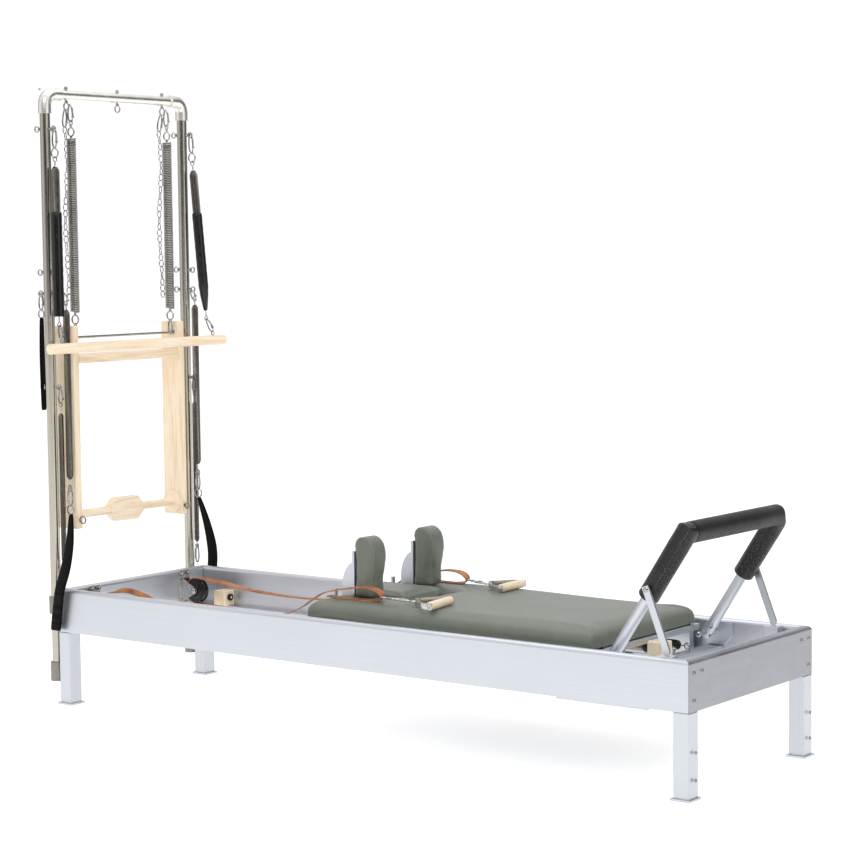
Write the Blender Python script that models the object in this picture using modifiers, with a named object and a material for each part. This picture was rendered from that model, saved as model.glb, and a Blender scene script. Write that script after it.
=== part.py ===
"""Pilates reformer with a tower: a spring carriage on a leg frame, a foot bar, leather pull straps,
and a tube tower that carries a wooden push-through frame, a roll-down bar and leg springs.

Metres, +Z up.  The origin is at the centre of the object's footprint, on the floor.
+X is the foot end (foot bar), -X the head end (tower), -Y the near rail, +Y the far rail.
"""
import math

import bmesh
import bpy
from mathutils import Matrix, Vector

# ---------------------------------------------------------------- driving dimensions
GAP = 0.0003                    # clearance between touching solids

FRAME_LENGTH = 2.350
FRAME_WIDTH = 0.685
RAIL_TOP = 0.375
RAIL_BOTTOM = 0.236
RAIL_THICK = 0.032
RAIL_ROUND = 0.012

LEG_SIDE = 0.049
FOOT_THICK = 0.006
FOOT_FLANGE = 0.006

TOWER_REACH = 0.035             # post axis beyond the head plate
POST_RADIUS = 0.0168
POST_Y = 0.317
COLLAR_RADIUS = 0.0235
CROSS_Z = 1.960                 # axis of the top tube
ELBOW_RADIUS = 0.0215
ELBOW_LEG = 0.062

STILE_DEPTH = 0.082
STILE_THICK = 0.029
STILE_OUTER_Y = 0.262
TRAPEZE_REACH = 0.031           # trapeze centre beyond the head plate
TRAPEZE_BOTTOM = 0.560
TRAPEZE_TOP = 1.219

TRACK_TOP = 0.252
TRACK_THICK = 0.006
TRACK_INNER_Y = 0.280
WHEEL_RADIUS = 0.030
WHEEL_WIDTH = 0.022
WHEEL_Y = 0.295

BOARD_BOTTOM = 0.342
BOARD_TOP = 0.3597
PAD_TOP = 0.418
PAD_HALF_WIDTH = 0.288

SHOULDER_PROFILE = ((0.0, 0.4195), (0.0, 0.570), (0.004, 0.588), (0.016, 0.600), (0.034, 0.603),
                    (0.052, 0.598), (0.067, 0.584), (0.075, 0.562), (0.0765, 0.535), (0.073, 0.505),
                    (0.068, 0.470), (0.067, 0.440), (0.0665, 0.4195))

STRAP_Y = 0.2125
STRAP_WIDTH = 0.022
STRAP_THICK = 0.003
PULLEY_RADIUS = 0.041
PULLEY_Z = 0.308

FOOTBAR_Y = 0.257
FOOTBAR_LEAN = math.radians(33.3)
FOOTBAR_LENGTH = 0.429          # pivot to top tube
FOOTBAR_TUBE = 0.016
FOOTBAR_PAD = 0.030
FOOTBAR_PIVOT_Z = 0.341
FOOTBAR_BEND = 0.035
PAD_START = 0.212               # along the leg, from the pivot
PROP_START = 0.244
PROP_LENGTH = 0.172
PROP_LEAN = math.radians(21.3)

# ---------------------------------------------------------------- places worked out from them
HEAD_OVERHANG = TRAPEZE_REACH + STILE_DEPTH / 2
MIDDLE_X = (HEAD_OVERHANG - FOOT_FLANGE) / 2
HEAD_X = MIDDLE_X - FRAME_LENGTH / 2
FOOT_X = MIDDLE_X + FRAME_LENGTH / 2
SIDE_Y = FRAME_WIDTH / 2
RAIL_INNER_Y = SIDE_Y - RAIL_THICK
TOWER_X = HEAD_X - TOWER_REACH
TRAPEZE_X = HEAD_X - TRAPEZE_REACH
SPRING_X = TOWER_X + 0.019      # trapeze springs and the rod that they hold
SPRING_Y = 0.222
ROD_Z = 1.181
PULLEY_X = HEAD_X + 0.095
CARRIAGE_HEAD_X = MIDDLE_X - 0.200
CARRIAGE_FOOT_X = MIDDLE_X + 0.842
WHEEL_X = (MIDDLE_X - 0.120, MIDDLE_X + 0.760)
WHEEL_Z = TRACK_TOP + WHEEL_RADIUS + GAP
FOOTBAR_PIVOT_X = MIDDLE_X + 0.882
SIDES = (("near", -1), ("far", 1))

COLLECTION = "pilates_reformer"
CUTTERS = "cutters"


# ---------------------------------------------------------------- scene helpers
def clear_scene():
    for obj in list(bpy.data.objects):
        bpy.data.objects.remove(obj, do_unlink=True)
    for name in (COLLECTION, CUTTERS):
        group = bpy.data.collections.new(name)
        bpy.context.scene.collection.children.link(group)


def material(name, color, roughness, metallic=0.0):
    mat = bpy.data.materials.get(name)
    if mat is None:
        mat = bpy.data.materials.new(name)
        mat.use_nodes = True
        shader = mat.node_tree.nodes["Principled BSDF"]
        shader.inputs["Base Color"].default_value = (*color, 1.0)
        shader.inputs["Roughness"].default_value = roughness
        shader.inputs["Metallic"].default_value = metallic
    return mat


def aluminium(name):
    return material(name, (0.72, 0.74, 0.77), 0.38, 1.0)


def steel(name):
    return material(name, (0.62, 0.60, 0.57), 0.22, 1.0)


def maple(name):
    return material(name, (0.80, 0.62, 0.42), 0.5)


def vinyl(name):
    return material(name, (0.135, 0.155, 0.120), 0.42)


def black_rubber(name):
    return material(name, (0.012, 0.012, 0.014), 0.6)


def leather(name):
    return material(name, (0.42, 0.17, 0.06), 0.5)


def place(obj, group=COLLECTION):
    bpy.data.collections[group].objects.link(obj)
    return obj


def finish(obj, mat, smooth=True):
    obj.data.materials.clear()
    obj.data.materials.append(mat)
    if smooth:
        obj.data.shade_smooth()
        obj.data.set_sharp_from_angle(angle=math.radians(35))
    return obj


def mesh_object(name, bm):
    mesh = bpy.data.meshes.new(name)
    bmesh.ops.recalc_face_normals(bm, faces=bm.faces)
    bm.to_mesh(mesh)
    bm.free()
    return place(bpy.data.objects.new(name, mesh))


def bake(obj):
    """Give the object its evaluated mesh, so that its modifiers are settled."""
    bpy.context.view_layer.update()
    graph = bpy.context.evaluated_depsgraph_get()
    mesh = bpy.data.meshes.new_from_object(obj.evaluated_get(graph))
    obj.modifiers.clear()
    obj.data = mesh
    return obj


def boolean(obj, other, operation):
    """Join another solid to this one, or cut it away, and drop the other."""
    bpy.context.view_layer.update()
    step = obj.modifiers.new(operation.lower(), 'BOOLEAN')
    step.operation = operation
    step.solver = 'EXACT'
    step.object = other
    bake(obj)
    bpy.data.objects.remove(other, do_unlink=True)
    return obj


def join(obj, *others):
    for other in others:
        boolean(obj, other, 'UNION')
    return obj


def cut(obj, *others):
    for other in others:
        other.hide_render = True
        other.display_type = 'WIRE'
        boolean(obj, other, 'DIFFERENCE')
    return obj


# ---------------------------------------------------------------- shapes
def box(name, low, high, bevel=0.0, segments=1):
    low, high = Vector(low), Vector(high)
    bm = bmesh.new()
    bmesh.ops.create_cube(bm, size=1.0)
    bmesh.ops.scale(bm, vec=high - low, verts=bm.verts)
    bmesh.ops.translate(bm, vec=(low + high) / 2, verts=bm.verts)
    if bevel:
        bmesh.ops.bevel(bm, geom=list(bm.edges), offset=bevel, segments=segments,
                        profile=0.5, affect='EDGES', clamp_overlap=True)
    return mesh_object(name, bm)


def cylinder(name, start, end, radius, sides=16):
    start, end = Vector(start), Vector(end)
    along = end - start
    bm = bmesh.new()
    bmesh.ops.create_cone(bm, cap_ends=True, segments=sides, radius1=radius, radius2=radius,
                          depth=along.length)
    turn = Vector((0, 0, 1)).rotation_difference(along).to_matrix().to_4x4()
    bmesh.ops.transform(bm, matrix=Matrix.Translation((start + end) / 2) @ turn, verts=bm.verts)
    return mesh_object(name, bm)


def turned(name, profile, origin, axis='Z', sides=20):
    """A closed solid of revolution: profile is (radius, height) pairs from top to bottom."""
    bm = bmesh.new()
    rings = []
    for radius, height in profile:
        angles = (2 * math.pi * i / sides for i in range(sides))
        rings.append([bm.verts.new((radius * math.cos(a), radius * math.sin(a), height)) for a in angles])
    for upper, lower in zip(rings, rings[1:]):
        for i in range(sides):
            j = (i + 1) % sides
            bm.faces.new((upper[i], lower[i], lower[j], upper[j]))
    bm.faces.new(rings[0])
    bm.faces.new(list(reversed(rings[-1])))
    turn = Matrix.Rotation(-math.pi / 2, 4, 'X') if axis == 'Y' else Matrix.Identity(4)
    bmesh.ops.transform(bm, matrix=Matrix.Translation(origin) @ turn, verts=bm.verts)
    return mesh_object(name, bm)


def plate(name, outline, y_low, y_high):
    """A flat plate: an outline of (x, z) points, extruded from y_low to y_high."""
    bm = bmesh.new()
    face = bm.faces.new([bm.verts.new((x, y_low, z)) for x, z in outline])
    grown = bmesh.ops.extrude_face_region(bm, geom=[face])
    moved = [v for v in grown["geom"] if isinstance(v, bmesh.types.BMVert)]
    bmesh.ops.translate(bm, vec=(0, y_high - y_low, 0), verts=moved)
    return mesh_object(name, bm)


def tube(name, points, radius, sides_level=3, radii=None, wall=0.0):
    """A round bar along straight runs between the points, as a welded mesh; hollow with a wall."""
    curve = bpy.data.curves.new(name, 'CURVE')
    curve.dimensions = '3D'
    curve.bevel_depth = radius
    curve.bevel_resolution = sides_level
    curve.use_fill_caps = not wall
    curve.render_resolution_u = 0
    spline = curve.splines.new('POLY')
    spline.points.add(len(points) - 1)
    for i, point in enumerate(points):
        spline.points[i].co = (*point, 1.0)
        spline.points[i].radius = radii[i] if radii else 1.0
    wire = place(bpy.data.objects.new(name + "_path", curve))
    bpy.context.view_layer.update()
    graph = bpy.context.evaluated_depsgraph_get()
    mesh = bpy.data.meshes.new_from_object(wire.evaluated_get(graph))
    matrix = wire.matrix_world.copy()
    bpy.data.objects.remove(wire, do_unlink=True)
    bm = bmesh.new()
    bm.from_mesh(mesh)
    bmesh.ops.remove_doubles(bm, verts=bm.verts, dist=0.00005)
    obj = mesh_object(name, bm)
    obj.matrix_world = matrix
    if wall:
        shell = obj.modifiers.new("wall", 'SOLIDIFY')
        shell.thickness = wall
        shell.offset = -1.0
        shell.use_even_offset = True
        bake(obj)
    return obj


def bend(corner, before, after, radius, steps=5):
    """Points of a round bend at a corner, between the directions to two other points."""
    corner, before, after = Vector(corner), Vector(before), Vector(after)
    d1 = (before - corner).normalized()
    d2 = (after - corner).normalized()
    half = d1.angle(d2) / 2
    reach = radius / math.tan(half)
    centre = corner + (d1 + d2).normalized() * (radius / math.sin(half))
    first = corner + d1 * reach - centre
    last = corner + d2 * reach - centre
    turn = first.rotation_difference(last)
    out = []
    for i in range(steps + 1):
        part = turn.copy()
        part.angle = turn.angle * i / steps
        spun = first.copy()
        spun.rotate(part)
        out.append(centre + spun)
    return out


def ribbon(name, route, y, width, thick):
    """A flat strap: a route of (x, z) points swept across y, with even thickness."""
    bm = bmesh.new()
    row = [bm.verts.new((x, y - width / 2, z)) for x, z in route]
    edges = [bm.edges.new(pair) for pair in zip(row, row[1:])]
    grown = bmesh.ops.extrude_edge_only(bm, edges=edges)
    moved = [v for v in grown["geom"] if isinstance(v, bmesh.types.BMVert)]
    bmesh.ops.translate(bm, vec=(0, width, 0), verts=moved)
    obj = mesh_object(name, bm)
    shell = obj.modifiers.new("thickness", 'SOLIDIFY')
    shell.thickness = thick
    shell.offset = 0.0
    shell.use_even_offset = True
    return bake(obj)


# ---------------------------------------------------------------- the leg frame
def mitred_bar(name, length, angle, centre):
    """A frame side with its outer face at local y = 0, mitred inwards at both ends."""
    bm = bmesh.new()
    bmesh.ops.create_cube(bm, size=1.0)
    for v in bm.verts:
        inner = v.co.y > 0
        half = length / 2 - GAP - (RAIL_THICK if inner else 0.0)
        v.co.x = math.copysign(half, v.co.x)
        v.co.y = RAIL_THICK if inner else 0.0
        v.co.z = RAIL_TOP if v.co.z > 0 else RAIL_BOTTOM
    along = [e for e in bm.edges if abs((e.verts[0].co - e.verts[1].co).x) > length / 2]
    top = [e for e in along if e.verts[0].co.z > RAIL_BOTTOM + 0.01]
    bmesh.ops.bevel(bm, geom=top, offset=RAIL_ROUND, segments=4, profile=0.5, affect='EDGES')
    obj = mesh_object(name, bm)
    obj.data.transform(Matrix.Translation(centre) @ Matrix.Rotation(angle, 4, 'Z'))
    return obj


def frame_sides():
    for side, sign in SIDES:
        angle = 0.0 if sign < 0 else math.pi
        rail = mitred_bar(f"rail_{side}", FRAME_LENGTH, angle, (MIDDLE_X, sign * SIDE_Y, 0))
        y = sorted((sign * TRACK_INNER_Y, sign * (RAIL_INNER_Y + 0.002)))
        track = box("track", (HEAD_X + RAIL_THICK + 0.004, y[0], TRACK_TOP - TRACK_THICK),
                    (CARRIAGE_FOOT_X + 0.003, y[1], TRACK_TOP))
        finish(join(rail, track), aluminium(f"rail_{side}_mat"))
    ends = (("head", -math.pi / 2, HEAD_X), ("foot", math.pi / 2, FOOT_X))
    for end, angle, x in ends:
        finish(mitred_bar(f"end_plate_{end}", FRAME_WIDTH, angle, (x, 0, 0)),
               aluminium(f"end_plate_{end}_mat"))


def legs():
    for end, x, inward in (("head", HEAD_X, 1), ("foot", FOOT_X, -1)):
        for side, sign in SIDES:
            xs = sorted((x, x + inward * LEG_SIDE))
            ys = sorted((sign * SIDE_Y, sign * (SIDE_Y - LEG_SIDE)))
            leg = box(f"leg_{end}_{side}", (xs[0], ys[0], FOOT_THICK - 0.001),
                      (xs[1], ys[1], RAIL_BOTTOM - GAP), 0.002)
            sole = box("sole", (xs[0] - FOOT_FLANGE, ys[0] - FOOT_FLANGE, 0.0),
                       (xs[1] + FOOT_FLANGE, ys[1] + FOOT_FLANGE, FOOT_THICK))
            finish(join(leg, sole), aluminium(f"leg_{end}_{side}_mat"))


# ---------------------------------------------------------------- the tower
def tower():
    post_bottom = 0.132
    post_top = CROSS_Z - ELBOW_LEG
    for side, sign in SIDES:
        y = sign * POST_Y
        post = cylinder(f"tower_post_{side}", (TOWER_X, y, post_bottom + GAP),
                        (TOWER_X, y, post_top - GAP), POST_RADIUS, 20)
        finish(post, steel(f"tower_post_{side}_mat"))
        cup = cylinder(f"post_mount_{side}", (TOWER_X, y, 0.070), (TOWER_X, y, post_bottom), COLLAR_RADIUS, 20)
        web = box("web", (HEAD_X - 0.006, y - 0.012, 0.040), (HEAD_X - GAP, y + 0.012, 0.346), 0.001)
        foot = box("foot", (TOWER_X, y - 0.011, 0.074), (HEAD_X - 0.003, y + 0.011, post_bottom - 0.004))
        clamp = box("clamp", (TOWER_X, y - 0.011, 0.294), (HEAD_X - 0.003, y + 0.011, 0.341))
        collar = cylinder("collar", (TOWER_X, y, 0.290), (TOWER_X, y, 0.345), COLLAR_RADIUS, 20)
        bore = cylinder("bore", (TOWER_X, y, post_bottom + 0.001), (TOWER_X, y, 0.40),
                        POST_RADIUS + GAP, 20)
        join(cup, foot, clamp, collar, web)
        finish(cut(cup, bore), steel(f"post_mount_{side}_mat"))
    corner_near = (TOWER_X, -POST_Y, CROSS_Z)
    corner_far = (TOWER_X, POST_Y, CROSS_Z)
    top = cylinder("tower_top", (TOWER_X, -POST_Y + ELBOW_LEG - 0.01, CROSS_Z),
                   (TOWER_X, POST_Y - ELBOW_LEG + 0.01, CROSS_Z), POST_RADIUS, 20)
    for corner, inner in ((corner_near, -POST_Y + ELBOW_LEG), (corner_far, POST_Y - ELBOW_LEG)):
        down = (corner[0], corner[1], post_top)
        along = (corner[0], inner, CROSS_Z)
        path = [Vector(down)] + bend(corner, down, along, 0.034) + [Vector(along)]
        join(top, tube("elbow", path, ELBOW_RADIUS, 4))
    finish(top, steel("tower_top_mat"))


# ---------------------------------------------------------------- head end fittings
def pulleys():
    cheek = 0.0035
    inside = 0.0125
    plate_x = HEAD_X + RAIL_THICK + GAP
    for side, sign in SIDES:
        y = sign * STRAP_Y
        bracket = box(f"pulley_bracket_{side}", (plate_x, y - 0.025, 0.262),
                      (plate_x + 0.004, y + 0.025, 0.372), 0.001)
        outline = [(plate_x + 0.003, 0.264)]
        for i in range(5):
            angle = math.radians(-60 + 30 * i)
            outline.append((PULLEY_X + 0.010 * math.cos(angle), PULLEY_Z + 0.010 * math.sin(angle)))
        outline.append((plate_x + 0.003, 0.350))
        for lo, hi in ((-inside - cheek, -inside), (inside, inside + cheek)):
            join(bracket, plate("cheek", outline, y + lo, y + hi))
        pin = cylinder("pin", (PULLEY_X, y - inside - cheek - 0.003, PULLEY_Z),
                       (PULLEY_X, y + inside + cheek + 0.003, PULLEY_Z), 0.004, 16)
        finish(join(bracket, pin), aluminium(f"pulley_bracket_{side}_mat"))
        rim = PULLEY_RADIUS
        half = 0.0115
        profile = ((rim - 0.003, half), (rim, half - 0.002), (rim - 0.0045, 0.004),
                   (rim - 0.0045, -0.004), (rim, -half + 0.002), (rim - 0.003, -half))
        wheel = turned(f"pulley_{side}", profile, (PULLEY_X, y, PULLEY_Z), 'Y', 28)
        bore = cylinder("bore", (PULLEY_X, y - 0.03, PULLEY_Z), (PULLEY_X, y + 0.03, PULLEY_Z), 0.0043, 16)
        finish(cut(wheel, bore), black_rubber(f"pulley_{side}_mat"))


def stops():
    for side, sign in SIDES:
        ys = sorted((sign * (RAIL_INNER_Y - GAP), sign * 0.259))
        x_end = HEAD_X + 0.175
        block = box(f"head_stop_{side}", (x_end - 0.050, ys[0], TRACK_TOP + GAP),
                    (x_end, ys[1], 0.304), 0.002)
        y = (ys[0] + ys[1]) / 2
        bumper = cylinder("bumper", (x_end - 0.005, y, 0.282), (x_end + 0.008, y, 0.282), 0.011, 16)
        finish(join(block, bumper), maple(f"head_stop_{side}_mat"))
    bar_x = CARRIAGE_FOOT_X + 0.008
    bar = box("spring_bar", (bar_x, -RAIL_INNER_Y + GAP, 0.270), (bar_x + 0.055, RAIL_INNER_Y - GAP, 0.2965),
              0.003)
    finish(bar, aluminium("spring_bar_mat"))
    block = box("foot_stop", (bar_x + 0.002, -0.026, 0.2965 + GAP), (bar_x + 0.053, 0.026, 0.352), 0.002)
    bumper = cylinder("bumper", (CARRIAGE_FOOT_X + 0.0015, 0, 0.3455), (bar_x + 0.006, 0, 0.3455), 0.006, 16)
    finish(join(block, bumper), maple("foot_stop_mat"))


# ---------------------------------------------------------------- the carriage
def carriage():
    half = PAD_HALF_WIDTH - 0.005
    frame = box("carriage_frame", (CARRIAGE_HEAD_X, -half, BOARD_BOTTOM), (CARRIAGE_FOOT_X, half, BOARD_TOP),
                0.0015)
    for _side, sign in SIDES:
        ys = sorted((sign * 0.258, sign * 0.2805))
        join(frame, box("runner", (CARRIAGE_HEAD_X + 0.02, ys[0], 0.258),
                        (CARRIAGE_FOOT_X - 0.02, ys[1], BOARD_BOTTOM + 0.002)))
        for x in WHEEL_X:
            join(frame, cylinder("axle", (x, sign * 0.270, WHEEL_Z), (x, sign * 0.3085, WHEEL_Z), 0.004, 12))
        peg_x, peg_y = CARRIAGE_HEAD_X + 0.019, sign * 0.142
        join(frame, cylinder("peg", (peg_x, peg_y, BOARD_TOP - 0.004), (peg_x, peg_y, 0.434), 0.0065, 12))
    finish(frame, aluminium("carriage_frame_mat"))

    pad = box("carriage_pad", (CARRIAGE_HEAD_X + 0.010, -PAD_HALF_WIDTH, BOARD_TOP + GAP),
              (CARRIAGE_FOOT_X + 0.002, PAD_HALF_WIDTH, PAD_TOP), 0.024, 4)
    cut(pad, box("notch", (CARRIAGE_HEAD_X - 0.05, -0.1055, 0.33), (MIDDLE_X + 0.0585, 0.1055, 0.46)))
    for _side, sign in SIDES:
        peg_x, peg_y = CARRIAGE_HEAD_X + 0.019, sign * 0.142
        cut(pad, cylinder("peg_hole", (peg_x, peg_y, 0.33), (peg_x, peg_y, 0.46), 0.009, 12))
        cut(pad, box("slot", (MIDDLE_X - 0.153, sign * 0.145 - 0.007, 0.33),
                     (MIDDLE_X - 0.077, sign * 0.145 + 0.007, 0.46)))
    finish(pad, vinyl("carriage_pad_mat"))

    rest = box("headrest", (CARRIAGE_HEAD_X + 0.012, -0.103, 0.392), (MIDDLE_X + 0.053, 0.103, 0.431),
               0.014, 3)
    finish(rest, vinyl("headrest_mat"))


def shoulder_rests():
    back_x = MIDDLE_X - 0.0797
    for side, sign in SIDES:
        y = sign * 0.145
        outline = [(back_x + dx, z) for dx, z in SHOULDER_PROFILE]
        pad = plate(f"shoulder_pad_{side}", outline, y - 0.035, y + 0.035)
        soften = pad.modifiers.new("edges", 'BEVEL')
        soften.width = 0.010
        soften.segments = 2
        soften.limit_method = 'ANGLE'
        soften.angle_limit = math.radians(60)
        finish(bake(pad), vinyl(f"shoulder_pad_{side}_mat"))
        back = box(f"shoulder_bracket_{side}", (back_x - 0.0105, y - 0.031, PAD_TOP + 0.002),
                   (back_x - GAP, y + 0.031, 0.556), 0.0015)
        front = back_x - 0.006
        heel = MIDDLE_X - 0.150
        outline = [(front, BOARD_TOP + GAP), (heel, BOARD_TOP + GAP)]
        for i in range(7):
            angle = math.radians(90 * i / 6)
            outline.append((heel + (front - 0.012 - heel) * (1 - math.cos(angle)),
                            0.436 + 0.084 * math.sin(angle)))
        outline.append((front, 0.520))
        join(back, plate("gusset", outline, y - 0.004, y + 0.004))
        finish(back, aluminium(f"shoulder_bracket_{side}_mat"))


def wheels():
    for end, x in zip(("head", "foot"), WHEEL_X):
        for side, sign in SIDES:
            half = WHEEL_WIDTH / 2
            profile = ((WHEEL_RADIUS - 0.003, half), (WHEEL_RADIUS, half - 0.003),
                       (WHEEL_RADIUS, -half + 0.003), (WHEEL_RADIUS - 0.003, -half))
            y = sign * WHEEL_Y
            wheel = turned(f"wheel_{end}_{side}", profile, (x, y, WHEEL_Z), 'Y', 24)
            bore = cylinder("bore", (x, y - 0.03, WHEEL_Z), (x, y + 0.03, WHEEL_Z), 0.0043, 12)
            finish(cut(wheel, bore), black_rubber(f"wheel_{end}_{side}_mat"))


# ---------------------------------------------------------------- leather straps and handles
def strap_route():
    """(x, z) points: under the board, round the pulley, back over the pad, into the end loop."""
    turns = 12
    sweep = math.radians(172)
    wrap = (PULLEY_RADIUS + GAP) / math.cos(sweep / turns / 2) + STRAP_THICK / 2
    route = [(CARRIAGE_HEAD_X + 0.006, 0.3395), (CARRIAGE_HEAD_X - 0.040, 0.3370),
             (CARRIAGE_HEAD_X - 0.400, 0.3060)]
    for i in range(turns + 1):
        angle = math.radians(-95) - sweep * i / turns
        route.append((PULLEY_X + wrap * math.cos(angle), PULLEY_Z + wrap * math.sin(angle)))
    over_the_pad = ((-0.960, 0.343), (-0.850, 0.329), (-0.650, 0.320), (-0.450, 0.328), (-0.330, 0.349),
                    (-0.262, 0.374), (-0.215, 0.402), (-0.170, 0.428), (-0.116, 0.442), (-0.060, 0.452),
                    (-0.020, 0.458), (0.020, 0.457), (0.045, 0.449), (0.056, 0.436), (0.046, 0.4250),
                    (0.015, 0.4205), (-0.040, 0.4202), (-0.100, 0.4202), (-0.150, 0.4208))
    return route + [(MIDDLE_X + x, z) for x, z in over_the_pad]


def straps():
    for side, sign in SIDES:
        strap = ribbon(f"strap_{side}", strap_route(), sign * STRAP_Y, STRAP_WIDTH, STRAP_THICK)
        finish(strap, leather(f"strap_{side}_mat"))


def handle(side, centre_x, centre_y, turn_degrees):
    """A wooden grip in a steel stirrup, with the hook that holds it to the strap's loop."""
    z = PAD_TOP + 0.0135
    turn = Matrix.Rotation(math.radians(turn_degrees), 4, 'Z')
    place_at = Matrix.Translation((centre_x, centre_y, z)) @ turn
    grip = cylinder(f"handle_{side}", (0, -0.066, 0), (0, 0.066, 0), 0.0125, 16)
    neck_x = -0.078
    arms = [(0, -0.055, 0), (0, -0.071, 0), (-0.006, -0.075, 0), (-0.032, -0.064, 0), (-0.062, -0.034, 0),
            (neck_x, -0.012, 0), (neck_x, 0.012, 0),
            (-0.062, 0.034, 0), (-0.032, 0.064, 0), (-0.006, 0.075, 0), (0, 0.071, 0), (0, 0.055, 0)]
    join(grip, tube("stirrup", arms, 0.004, 2))
    grip.data.transform(place_at)
    neck = place_at @ Vector((neck_x + 0.001, 0.002, 0))
    loop_y = math.copysign(STRAP_Y, centre_y)
    tip = Vector((MIDDLE_X + 0.0615, loop_y, 0.4335))
    join(grip, cylinder("hook", neck, tip, 0.0035, 10))
    finish(grip, maple(f"handle_{side}_mat"))


# ---------------------------------------------------------------- the foot bar
def along_leg(distance, y):
    """A point on a foot bar leg, at a distance up from its pivot."""
    return Vector((FOOTBAR_PIVOT_X + distance * math.sin(FOOTBAR_LEAN), y,
                   FOOTBAR_PIVOT_Z + distance * math.cos(FOOTBAR_LEAN)))


def footbar_path(start):
    near_corner = along_leg(FOOTBAR_LENGTH, -FOOTBAR_Y)
    far_corner = along_leg(FOOTBAR_LENGTH, FOOTBAR_Y)
    near_end = along_leg(start, -FOOTBAR_Y)
    far_end = along_leg(start, FOOTBAR_Y)
    points = [near_end] + bend(near_corner, near_end, far_corner, FOOTBAR_BEND)
    return points + bend(far_corner, near_corner, far_end, FOOTBAR_BEND) + [far_end]


def footbar():
    bar = tube("footbar_tube", footbar_path(-0.013), FOOTBAR_TUBE, 4)
    wall = FOOTBAR_PAD - FOOTBAR_TUBE - 0.0008
    pad = tube("footbar_pad", footbar_path(PAD_START), FOOTBAR_PAD, 4, wall=wall)
    for side, sign in SIDES:
        pivot = along_leg(0, sign * FOOTBAR_Y)
        knee = along_leg(PROP_START, sign * FOOTBAR_Y)
        reach = Vector((0, 0.06, 0))
        cut(bar, cylinder("bore", pivot - reach, pivot + reach, 0.0063, 16))
        cut(bar, cylinder("bore", knee - reach, knee + reach, 0.0053, 16))
        outer = knee + Vector((0, sign * 0.06, 0))
        cut(pad, cylinder("bore", knee, outer, 0.0065, 16))
        prop(side, sign, knee)
        footbar_bracket(side, sign)
        prop_seat(side, sign)
    finish(bar, aluminium("footbar_tube_mat"))
    finish(pad, black_rubber("footbar_pad_mat"))


def prop(side, sign, knee):
    """The flat stay on a leg's outer side that holds the bar up."""
    inner, outer, half = 0.2885, 0.2965, 0.010
    down = Vector((math.sin(PROP_LEAN), 0, -math.cos(PROP_LEAN)))
    across = Vector((math.cos(PROP_LEAN), 0, math.sin(PROP_LEAN)))
    foot = knee + down * PROP_LENGTH
    corners = [knee - down * half + across * half, knee - down * half - across * half]
    for i in range(7):
        angle = math.radians(180 + 30 * i)
        corners.append(foot + across * (half * math.cos(angle)) - down * (half * math.sin(angle)))
    outline = [(spot.x, spot.z) for spot in corners]
    ys = sorted((sign * inner, sign * outer))
    bar = plate(f"prop_{side}", outline, *ys)
    pin = cylinder("pin", (knee.x, sign * 0.247, knee.z), (knee.x, sign * (inner + 0.002), knee.z), 0.005, 16)
    finish(join(bar, pin), aluminium(f"prop_{side}_mat"))


def footbar_bracket(side, sign):
    """The hinge plate on the rail's inner face, with the pivot bolt."""
    face = RAIL_INNER_Y - GAP
    ys = sorted((sign * face, sign * (face - 0.006)))
    x, z = FOOTBAR_PIVOT_X, FOOTBAR_PIVOT_Z
    outline = [(x - 0.056, 0.368), (x - 0.056, 0.330), (x - 0.030, 0.300), (x + 0.030, 0.300),
               (x + 0.056, 0.330), (x + 0.056, 0.368)]
    flange = plate(f"footbar_bracket_{side}", outline, *ys)
    bolt = cylinder("bolt", (x, sign * 0.236, z), (x, sign * (face - 0.003), z), 0.006, 16)
    boss = cylinder("boss", (x, sign * (FOOTBAR_Y + FOOTBAR_TUBE + 0.0008), z), (x, sign * (face - 0.003), z),
                    0.011, 16)
    finish(join(flange, boss, bolt), aluminium(f"footbar_bracket_{side}_mat"))


def prop_seat(side, sign):
    face = RAIL_INNER_Y - GAP
    ys = sorted((sign * face, sign * 0.274))
    foot_x = along_leg(PROP_START, 0).x + PROP_LENGTH * math.sin(PROP_LEAN)
    seat = box(f"prop_seat_{side}", (foot_x - 0.024, ys[0], 0.345), (foot_x + 0.024, ys[1], 0.3735), 0.002)
    finish(seat, aluminium(f"prop_seat_{side}_mat"))


# ---------------------------------------------------------------- what hangs on the tower
def spring(name, points, radii, mat):
    """A close-wound spring with its hooks, as one plain solid."""
    return finish(tube(name, points, 1.0, 4, radii), mat)


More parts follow.
